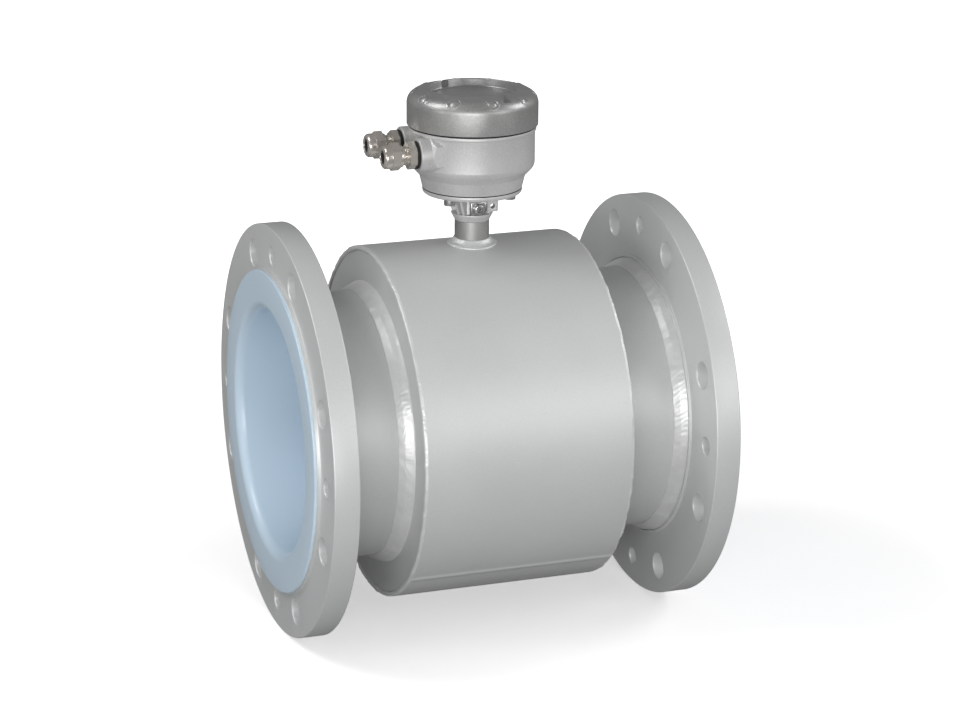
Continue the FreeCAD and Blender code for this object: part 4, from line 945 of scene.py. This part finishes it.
@dataclass
class HeadFoot:
    """Cast foot of the head with its gasket, screws and earth clamp."""

    shop: Workshop
    nodes: dict[str, bpy.types.Object]
    plate_r: float = 40.8
    plate_level: float = 188.5
    base_top: float = 192.6
    gasket_top: float = 193.4
    gasket_width: float = 5.0
    cap_r: float = 4.7
    cap_height: float = 5.8
    shank_r: float = 2.5
    shank_end: float = 3.6
    key_flats: float = 4.0
    key_depth: float = 2.6
    screw_circle_r: float = 31.0
    screw_angles: tuple[float, ...] = (95.0, 215.0, 335.0)
    ground_level: float = 177.5
    clamp_tip: float = -10.3
    clamp_seat: float = -16.9
    clamp_top: float = -20.1
    clamp_head_r: float = 4.5
    cross_half: float = 2.9
    cross_width: float = 1.5
    cross_depth: float = 2.6

    def build(self) -> None:
        """Make every piece."""
        foot = self.softened("head_base", 0.35)
        self.shop.piece("cast_foot", foot, "sensor", "satin_casting", ["head_base"])
        radii = (self.plate_r - self.gasket_width, self.plate_r)
        gasket = ring(Axis.Z, radii, (self.base_top, self.gasket_top), 128)
        self.shop.piece("foot_gasket", gasket, "sensor", "black_rubber", ["base_gasket"])
        self.shop.piece("cap_screws", self.cap_screws(), "sensor", "plain_steel", ["head_screws"])
        saddle = self.softened("ground_saddle", 0.3)
        self.shop.piece("clamp_saddle", saddle, "saddle", "plain_steel", ["ground_saddle"])
        screw = self.clamp_screw()
        self.shop.piece("clamp_screw", screw, "ground_screw", "plain_steel", ["ground_screw"])

    def softened(self, node: str, radius: float) -> bmesh.types.BMesh:
        """Merged copy of a cast or pressed node with small rounded edges.

        Args:
            node: Name of the node.
            radius: Edge rounding in mm.

        Returns:
            New mesh.
        """
        bm = bmesh.new()
        bm.from_mesh(self.nodes[node].data)
        bmesh.ops.remove_doubles(bm, verts=bm.verts, dist=2 * MERGE_DISTANCE)
        bmesh.ops.dissolve_limit(bm, angle_limit=math.radians(1.0), verts=bm.verts, edges=bm.edges)
        sharp = math.radians(35)
        edges = [edge for edge in bm.edges if edge.is_manifold and edge.calc_face_angle(0.0) > sharp]
        bmesh.ops.bevel(
            bm, geom=edges, offset=radius * MM, offset_type="OFFSET", segments=2, profile=0.5,
            affect="EDGES", clamp_overlap=True, material=-1)
        return bm

    def cap_screws(self) -> bmesh.types.BMesh:
        """Three socket-head screws under the plate."""
        low = self.plate_level - self.cap_height
        top = self.gasket_top + self.shank_end
        shape = turned(Axis.Z, [
            Corner(0, low), Corner(self.cap_r, low, 0.7, 4), Corner(self.cap_r, self.plate_level),
            Corner(self.shank_r, self.plate_level), Corner(self.shank_r, top), Corner(0, top)], 48)
        key = hexagon(Axis.Z, self.key_flats, low - 2, low + self.key_depth)
        screw = combined(shape, [key], Join.CUT)
        screws = []
        for angle in self.screw_angles:
            turn = math.radians(angle)
            x, y = self.screw_circle_r * math.cos(turn), self.screw_circle_r * math.sin(turn)
            screws.append(shifted(screw.copy(), x, y))
        return merged(screws)

    def clamp_screw(self) -> bmesh.types.BMesh:
        """Pan-head screw with a cross recess."""
        tip, seat, top = self.clamp_tip, self.clamp_seat, self.clamp_top
        screw = turned(Axis.Y, [
            Corner(0, tip), Corner(self.shank_r, tip, 0.4, 2), Corner(self.shank_r, seat),
            Corner(self.clamp_head_r, seat, 0.2, 2), Corner(self.clamp_head_r, top, 1.5, 6),
            Corner(0, top)], 56)
        reach, half = self.cross_half, self.cross_width / 2
        for turn in (45, 135):
            slot = block((-reach, top - 2, -half), (reach, top + self.cross_depth, half))
            screw = combined(screw, [spun(slot, Axis.Y, turn)], Join.CUT)
        return shifted(screw, z=self.ground_level)


@dataclass
class TerminalHousing:
    """Round cast housing with its two entry sockets and the seal under the cover."""

    shop: Workshop
    foot_level: float = 193.4
    foot_r: float = 40.9
    waist_r: float = 43.4
    waist_level: float = 203.8
    body_r: float = 51.0
    body_level: float = 212.8
    collar_level: float = 240.6
    collar_top: float = 243.8
    collar_out: float = 1.0
    rim_level: float = 257.8
    neck_r: float = 48.4
    thread_pitch: float = 2.0
    thread_depth: float = 0.45
    cavity_r: float = 44.4
    cavity_level: float = 198.4
    cavity_top: float = 262.8
    wire_hole_r: float = 10.0
    socket_face: float = 54.5
    socket_round: float = 9.0
    socket_r: float = 13.65
    socket_cone: float = 3.4
    socket_flats: float = 28.6
    socket_bore_r: float = 8.0
    entry_y: float = 22.0
    entry_level: float = 227.5
    seal_radii: tuple[float, float] = (49.3, 52.3)
    seal_ends: tuple[float, float] = (243.9, 245.1)

    def build(self) -> None:
        """Make every piece."""
        self.shop.piece("cast_housing", self.housing(), "sensor", "satin_casting", ["terminal_housing"])
        socket = self.socket()
        for side, bm in (("front", socket.copy()), ("rear", flipped_y(socket))):
            self.shop.piece(side + "_socket", bm, "sensor", "satin_casting", [side + "_entry_socket"])
        seal = ring(Axis.Z, self.seal_radii, self.seal_ends, 160, 0.3)
        self.shop.piece("skirt_seal", seal, "cover_seal", "black_rubber", ["cover_seal"])

    def cavity(self) -> bmesh.types.BMesh:
        """Space inside the housing."""
        return turned(Axis.Z, [
            Corner(0, self.cavity_level), Corner(36.5, self.cavity_level, 1.0, 3),
            Corner(39.4, self.waist_level), Corner(self.cavity_r, self.body_level),
            Corner(self.cavity_r, self.cavity_top), Corner(0, self.cavity_top)], 160)

    def plug(self, grow: float) -> bmesh.types.BMesh:
        """Outer form of an entry socket.

        Args:
            grow: How far it stands out from the real form.

        Returns:
            Mesh at the front entry.
        """
        face, radius, flats = self.socket_face, self.socket_r + grow, self.socket_flats + 2 * grow
        corner_r = hexagon_radius(flats)
        start, beyond = -face + self.socket_round, 5.0
        wide = corner_r + 0.5
        slope = self.socket_cone / (corner_r - radius)
        nose = turned(Axis.X, [
            Corner(0, -face), Corner(radius, -face, 0.8, 4), Corner(radius, start),
            Corner(wide, start + slope * (wide - radius)), Corner(wide, 0), Corner(0, 0)], 96)
        bar = hexagon(Axis.X, flats, -face - beyond, beyond)
        return shifted(combined(nose, [bar], Join.KEEP), y=-self.entry_y, z=self.entry_level)

    def housing(self) -> bmesh.types.BMesh:
        """Tapered foot, wider body, collar, and the threaded neck for the cover."""
        low, high = self.collar_top + 1.0, self.rim_level - 1.0
        collar_r = self.body_r + self.collar_out
        hull = turned(Axis.Z, [
            Corner(0, self.foot_level), Corner(self.foot_r, self.foot_level, 0.4, 3),
            Corner(self.waist_r, self.waist_level, 1.8, 6),
            Corner(self.body_r, self.body_level - 1.0, 7.0, 16),
            Corner(self.body_r, self.collar_level, 0.3, 2),
            Corner(collar_r, self.collar_level + 0.5, 0.3, 3),
            Corner(collar_r, self.collar_top, 0.5, 4), Corner(self.neck_r, self.collar_top),
            Corner(self.neck_r, self.rim_level, 0.9, 3), Corner(0, self.rim_level)], 256,
            lambda radius, along: 0.3 if low < along < high and radius > self.neck_r - 0.4 else 0.0)

        def thread(angle: float, radius: float, along: float) -> float:
            """Depth of the cover's thread in mm."""
            if radius < self.neck_r - 0.1 or not low < along < high:
                return 0.0
            fade = smooth_step(along, low, low + 1.5) * smooth_step(high - along, 0.0, 1.0)
            turns = along / self.thread_pitch
            return -self.thread_depth * fade * (1 + math.cos(turns * FULL_TURN - angle))

        body = combined(rippled(hull, Axis.Z, thread), [self.cavity()], Join.CUT)
        holes = [self.plug(0.05), flipped_y(self.plug(0.05))]
        holes.append(rod(Axis.Z, self.wire_hole_r, 188, 203, 48))
        return merged([combined(body, holes, Join.CUT), self.earth_pillar()])

    def earth_pillar(self) -> bmesh.types.BMesh:
        """Tapped pillar for the inner earth screw."""
        pillar = turned(Axis.Z, [
            Corner(0, 196), Corner(5, 196), Corner(5, 202.4, 0.4, 2), Corner(2.1, 202.4),
            Corner(2.1, 198), Corner(0, 198)], 40)
        return shifted(pillar, -22, 16)

    def socket(self) -> bmesh.types.BMesh:
        """Tapped socket that carries a gland, trimmed to the housing's inner wall."""
        face, bore = self.socket_face, self.socket_bore_r
        hole = turned(Axis.X, [
            Corner(0, -face - 2.0), Corner(bore + 2.6, -face - 2.0), Corner(bore, -face + 0.6),
            Corner(bore, 0), Corner(0, 0)], 64)
        shifted(hole, y=-self.entry_y, z=self.entry_level)
        keep = ring(Axis.Z, (self.cavity_r, 80), (205, 250), 160)
        trimmed = combined(self.plug(0.0), [keep], Join.KEEP)
        bmesh.ops.remove_doubles(trimmed, verts=trimmed.verts, dist=MERGE_DISTANCE)
        return combined(trimmed, [hole], Join.CUT)


@dataclass
class CableGland:
    """One plated cable gland with its washer, rubber ring and cap nut.

    Lengths and ends are distances outwards from the socket's face.
    """

    shop: Workshop
    side: str
    mirrored: bool
    face: float = 54.5
    entry_y: float = 22.0
    entry_level: float = 227.5
    flats: float = 20.0
    corner_cut: float = 0.8
    washer_end: float = 2.6
    washer_radii: tuple[float, float] = (8.0, 11.2)
    body_hexagon_end: float = 8.6
    shank_end: float = -9.0
    bore_r: float = 5.3
    thread_r: float = 7.6
    thread_end: float = 21.5
    thread_depth: float = 0.38
    pitch: float = 1.5
    nut_start: float = 13.4
    nut_hexagon: tuple[float, float] = (15.7, 22.7)
    nut_end: float = 29.5
    nut_bore_r: float = 7.8
    dome_r: float = 9.7
    mouth_r: float = 5.6
    cable_r: float = 3.5

    def build(self) -> None:
        """Make every piece."""
        side = self.side
        self.place("gland", self.body(), "sensor", "plated_brass", "gland_body")
        self.place("cap_nut", self.nut(), side + "_nut", "plated_brass", "gland_nut")
        self.place("grip_ring", self.insert(), side + "_insert", "black_rubber", "gland_insert")
        self.place("seat_washer", self.washer(), "sensor", "black_rubber", "gland_washer")

    def place(self, name: str, bm: bmesh.types.BMesh, body: str, slot: str, node: str) -> None:
        """Move a piece drawn about X to its entry and make it."""
        shifted(bm, y=-self.entry_y, z=self.entry_level)
        bm = flipped_y(bm) if self.mirrored else bm
        self.shop.piece(f"{self.side}_{name}", bm, body, slot, [f"{self.side}_{node}"])

    def out(self, distance: float) -> float:
        """X of a place at a distance outwards from the socket face."""
        return -self.face - distance

    def body(self) -> bmesh.types.BMesh:
        """Shank, hexagon and thread."""
        out = self.out
        end, tail, seat = out(self.thread_end), out(self.shank_end), out(self.washer_end)
        start = out(self.body_hexagon_end)
        crest = self.thread_r - 0.05
        barrel = turned(Axis.X, [
            Corner(self.bore_r, tail), Corner(7.9, tail, 0.4, 2), Corner(7.9, seat),
            Corner(self.thread_r, seat), Corner(self.thread_r, end, 0.3, 2), Corner(6.4, end),
            Corner(6.4, out(12)), Corner(self.bore_r, out(12))], 96,
            lambda radius, along: 0.12 if radius > crest and end < along < start else 0.0)

        def thread(angle: float, radius: float, along: float) -> float:
            """Depth of the nut's thread in mm."""
            if radius < crest or not end < along < start:
                return 0.0
            fade = smooth_step(along, end, end + 0.8)
            return -self.thread_depth * fade * (1 + math.cos(along / self.pitch * FULL_TURN + angle))

        bar = hexagon(Axis.X, self.flats, start, seat, self.corner_cut)
        hollow = rod(Axis.X, 7.0, out(10), out(0), 64)
        return merged([rippled(barrel, Axis.X, thread), combined(bar, [hollow], Join.CUT)])

    def nut(self) -> bmesh.types.BMesh:
        """Dome-shaped cap nut with a collar and a hexagon."""
        out = self.out
        start, end = out(self.nut_start), out(self.nut_end)
        low, high = (out(place) for place in self.nut_hexagon)
        shell = turned(Axis.X, [
            Corner(self.nut_bore_r, start), Corner(9.0, start, 0.5, 4), Corner(9.0, low, 0.2, 2),
            Corner(self.dome_r, low, 0.3, 2), Corner(self.dome_r, end, 3.0, 10),
            Corner(self.mouth_r, end, 0.5, 4), Corner(self.mouth_r, out(26.4)),
            Corner(self.nut_bore_r, high)], 96)
        bar = hexagon(Axis.X, self.flats, high, low, self.corner_cut)
        hollow = rod(Axis.X, 8.5, out(24), out(14), 64)
        return merged([shell, combined(bar, [hollow], Join.CUT)])

    def insert(self) -> bmesh.types.BMesh:
        """Rubber ring that closes on the cable."""
        out = self.out
        return turned(Axis.X, [
            Corner(self.cable_r, out(12.3)), Corner(6.1, out(12.3)), Corner(6.1, out(23.7)),
            Corner(5.3, out(25.5)), Corner(5.3, out(28.6), 0.5, 3),
            Corner(self.cable_r, out(28.6), 0.5, 3)], 64)

    def washer(self) -> bmesh.types.BMesh:
        """Sealing washer against the socket."""
        return ring(Axis.X, self.washer_radii, (self.out(0), self.out(self.washer_end)), 96, 0.5)


@dataclass
class Cover:
    """Screw cover with a recessed top, grip dimples and wrench notches."""

    shop: Workshop
    radius: float = 53.5
    inner_r: float = 48.7
    bottom: float = 245.2
    corner_z: float = 270.7
    shoulder: float = 10.0
    slope: float = 14.0
    recess_r: float = 36.4
    recess_floor_r: float = 35.5
    recess_depth: float = 7.0
    steps: int = 840
    grid: float = 0.36
    dimples: int = 10
    first: float = 269.2
    tilt: float = 30.0
    reach: float = 7.0
    hollow_r: float = 8.6
    hollow_depth: float = 2.0
    lip_r: float = 5.8
    lip_width: float = 0.45
    lip_rise: float = 0.22
    button_r: float = 4.4
    button_rise: float = 0.7
    button_dome: float = 6.0
    notch_turn: float = -12.0
    notch_slope: float = 9.0
    notch_low: float = 6.9
    notch_high: float = 3.45
    centres: list[tuple[Vector, Vector]] = field(default_factory=list)

    def build(self) -> None:
        """Make the piece."""
        self.shop.piece("screw_cover", self.cap(), "cover", "satin_casting", ["cover"], "cover_casting")

    def cap(self) -> bmesh.types.BMesh:
        """Skirt, rounded shoulder, sloping crown and recess, with dimples and notches."""
        rise = math.tan(math.radians(self.slope))
        rim_z = self.corner_z + (self.radius - self.recess_r) * rise
        floor_z = rim_z - self.recess_depth
        ceiling = floor_z - 4.0
        cap = turned(Axis.Z, [
            Corner(self.inner_r, self.bottom), Corner(self.radius, self.bottom, 0.6, 4),
            Corner(self.radius, self.corner_z, self.shoulder, 38), Corner(self.recess_r, rim_z, 0.8),
            Corner(self.recess_floor_r, floor_z, 1.5, 6), Corner(0, floor_z), Corner(0, ceiling),
            Corner(self.inner_r - 3.4, ceiling), Corner(self.inner_r, ceiling - 3.4)], self.steps,
            lambda radius, along: self.grid if radius > 38 and along > self.corner_z - 8 else 0.0)
        self.find_centres()
        for vert in cap.verts:
            self.press(vert)
        notches = []
        between = 180.0 / self.dimples
        for turn in (between, between + 180.0):
            notches.append(spun(self.notch(rim_z), Axis.Z, self.first + turn))
        return combined(cap, notches, Join.CUT)

    def find_centres(self) -> None:
        """Work out the middle and direction of each dimple."""
        half = math.radians(90 - self.slope) / 2
        centre_z = self.corner_z - self.shoulder * math.tan(half)
        turn = math.radians(self.tilt)
        radius = self.radius - self.shoulder + self.shoulder * math.sin(turn)
        height = centre_z + self.shoulder * math.cos(turn)
        for step in range(self.dimples):
            around = math.radians(self.first + step * 360.0 / self.dimples)
            flat = Vector((math.cos(around), math.sin(around), 0))
            axis = flat * math.sin(turn) + Vector((0, 0, math.cos(turn)))
            self.centres.append((flat * radius + Vector((0, 0, height)), axis))

    def press(self, vert: bmesh.types.BMVert) -> None:
        """Move a vertex of the shoulder into its dimple."""
        place = vert.co / MM
        if place.z < self.corner_z - 9 or math.hypot(place.x, place.y) < 38:
            return
        for centre, axis in self.centres:
            offset = place - centre
            rise = offset.dot(axis)
            reach = (offset - axis * rise).length
            if reach > self.reach or abs(rise) > 6:
                continue
            depth = self.hollow_r - self.hollow_depth
            hollow = depth - math.sqrt(max(self.hollow_r ** 2 - reach ** 2, 0.0))
            height = soft_low(rise, hollow, 0.28)
            height += self.lip_rise * math.exp(-((reach - self.lip_r) / self.lip_width) ** 2)
            if reach < self.button_r:
                drop = self.button_dome - math.sqrt(self.button_dome ** 2 - reach ** 2)
                height = -soft_low(-height, drop - self.button_rise, 0.12)
            vert.co += axis * (height - rise) * MM
            return

    def notch(self, rim_z: float) -> bmesh.types.BMesh:
        """Cutter for a wrench notch, wider at the top, its floor rising outwards, off the radius."""
        low, high = rim_z - self.notch_low, rim_z + self.notch_high
        inmost, rise = -10.5, math.tan(math.radians(self.notch_slope))
        cutter = block((inmost, -3.2, low), (9.5, 3.2, high))
        for vert in cutter.verts:
            if vert.co.z > (low + high) / 2 * MM:
                vert.co.y = math.copysign(3.7 * MM, vert.co.y)
            vert.co.z += (vert.co.x - inmost * MM) * rise
        return shifted(spun(cutter, Axis.Z, self.notch_turn), 43.0)


def soft_low(first: float, second: float, blend: float) -> float:
    """Lower of two values, blended smoothly where they are close."""
    share = min(max(0.5 + 0.5 * (second - first) / blend, 0.0), 1.0)
    return second + (first - second) * share - blend * share * (1 - share) * 0.5


# Studio


WHITE = (1.0, 1.0, 1.0, 1.0)


@dataclass(frozen=True)
class SoftBox:
    """A soft rectangular light that faces the part.

    Azimuth runs from straight in front to the right, and elevation from level upwards, in degrees.
    """

    name: str
    azimuth: float
    elevation: float
    size: tuple[float, float]
    power: float
    distance: float = 2.7

    def build(self) -> None:
        """Add the light."""
        light = bpy.data.lights.new(self.name, "AREA")
        light.shape = "RECTANGLE"
        light.size, light.size_y = self.size
        light.energy = self.power
        turn, lift = math.radians(self.azimuth), math.radians(self.elevation)
        way = Vector((math.sin(turn) * math.cos(lift), -math.cos(turn) * math.cos(lift), math.sin(lift)))
        obj = bpy.data.objects.new(self.name, light)
        obj.location = way * self.distance
        obj.rotation_euler = (-way).to_track_quat("-Z", "Y").to_euler()
        bpy.context.scene.collection.objects.link(obj)


@dataclass
class Studio:
    """Pale floor, white surroundings, soft boxes and the camera.

    Angles are in radians. The floor's near, far and half width are in metres.
    """

    azimuth: float = -0.341937766
    elevation: float = 0.298949410
    roll: float = 0.00650776511
    aim_x: float = 7.67430150
    aim_y: float = 42.1760675
    distance: float = 2505.02725
    lens: float = 112.54
    floor_level: float = -170.0
    floor_half: float = 12.0
    floor_roughness: float = 0.6
    floor_grey: float = 0.2
    floor_shade: float = 0.8
    floor_seen: float = 0.4
    floor_near: float = 0.4
    floor_far: float = 1.3
    floor_glow: float = 0.05
    air_glow: float = 0.2

    def build(self) -> None:
        """Set up everything round the part."""
        self.floor()
        self.surroundings()
        for box in (
                SoftBox("front", -24.0, 2.0, (2.2, 1.0), 53.0),
                SoftBox("left", -72.0, 10.0, (1.0, 1.0), 7.0),
                SoftBox("left_high", -98.0, 48.0, (1.1, 1.1), 24.0),
                SoftBox("right", 32.0, 14.0, (1.2, 1.2), 11.0),
                SoftBox("far_right", 76.0, 32.0, (1.1, 1.1), 20.0)):
            box.build()
        self.camera()
        view = bpy.context.scene.view_settings
        view.view_transform = "Standard"
        view.look = "None"
        view.exposure = 0.0

    def floor(self) -> None:
        """Pale floor, brighter to the camera and further out; its glow is dimmer near the part, a painted
        shade round it.
        """
        bm = bmesh.new()
        bmesh.ops.create_grid(bm, x_segments=1, y_segments=1, size=self.floor_half)
        bmesh.ops.translate(bm, verts=bm.verts, vec=(0, 0, self.floor_level * MM))
        data = bpy.data.meshes.new("studio_floor")
        bm.to_mesh(data)
        bm.free()
        material = bpy.data.materials.new("studio_floor")
        material.use_nodes = True
        graph = Graph(material.node_tree)
        seen = graph.add("ShaderNodeLightPath").outputs["Is Camera Ray"]
        shader = material.node_tree.nodes["Principled BSDF"]
        place = graph.add("ShaderNodeTexCoord").outputs["Object"]
        away = graph.add("ShaderNodeVectorMath", {0: place}, operation="LENGTH").outputs["Value"]
        # Painted shade: the floor's glow to the camera is dimmed near the part and reaches full white
        # further out.
        bright = graph.add("ShaderNodeMapRange", {
            "Value": away, "From Min": self.floor_near, "From Max": self.floor_far,
            "To Min": self.floor_seen, "To Max": 1.0}, interpolation_type="SMOOTHSTEP").outputs[0]
        graph.feed(shader, {
            "Roughness": self.floor_roughness, "Specular IOR Level": 0.0, "Emission Color": WHITE,
            "Emission Strength": graph.math("MULTIPLY_ADD", seen, bright, self.floor_glow),
            "Base Color": graph.math("MULTIPLY_ADD", seen, self.floor_shade, self.floor_grey)})
        data.materials.append(material)
        floor = bpy.data.objects.new("studio_floor", data)
        bpy.context.scene.collection.objects.link(floor)

    def surroundings(self) -> None:
        """White for the camera, softer grey for what the part reflects."""
        world = bpy.data.worlds.new("surroundings")
        world.use_nodes = True
        bpy.context.scene.world = world
        world.node_tree.nodes.clear()
        graph = Graph(world.node_tree)
        seen = graph.add("ShaderNodeLightPath").outputs["Is Camera Ray"]
        soft = graph.add("ShaderNodeBackground", {"Color": WHITE, "Strength": self.air_glow})
        white = graph.add("ShaderNodeBackground", {"Color": WHITE, "Strength": 1.0})
        mix = graph.add("ShaderNodeMixShader", {0: seen, 1: soft.outputs[0], 2: white.outputs[0]})
        graph.add("ShaderNodeOutputWorld", {"Surface": mix.outputs[0]})

    def camera(self) -> None:
        """Camera at the photograph's angle and frame."""
        a, e, r = self.azimuth, self.elevation, self.roll
        back = Vector((math.sin(a) * math.cos(e), -math.cos(a) * math.cos(e), math.sin(e)))
        right = Vector((math.cos(a), math.sin(a), 0.0))
        up = back.cross(right)
        right, up = right * math.cos(r) + up * math.sin(r), up * math.cos(r) - right * math.sin(r)
        data = bpy.data.cameras.new("camera")
        data.sensor_width = 36.0
        data.sensor_fit = "HORIZONTAL"
        data.lens = self.lens
        data.clip_end = 100.0
        obj = bpy.data.objects.new("camera", data)
        place = (right * self.aim_x + up * self.aim_y + back * self.distance) * MM
        turn = Matrix((right, up, back)).transposed()
        obj.matrix_world = Matrix.Translation(place) @ turn.to_4x4()
        bpy.context.scene.collection.objects.link(obj)
        bpy.context.scene.camera = obj


def main() -> None:
    """Load the frame, build and dress every piece, and set up the studio."""
    logging.basicConfig(level=logging.INFO, format="%(name)s: %(message)s")
    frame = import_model()
    nodes = frame["nodes"]
    shop = Workshop()
    for part in frame["record"]["subparts"]:
        shop.dress(nodes[part["node"]], part["material_slot"])
    tube = FlowTube(shop)
    tube.build()
    CoilHousing(shop, tube).build()
    HeadFoot(shop, nodes).build()
    TerminalHousing(shop).build()
    CableGland(shop, "front", False).build()
    CableGland(shop, "rear", True).build()
    Cover(shop).build()
    Studio().build()


if __name__ == "__main__":
    main()
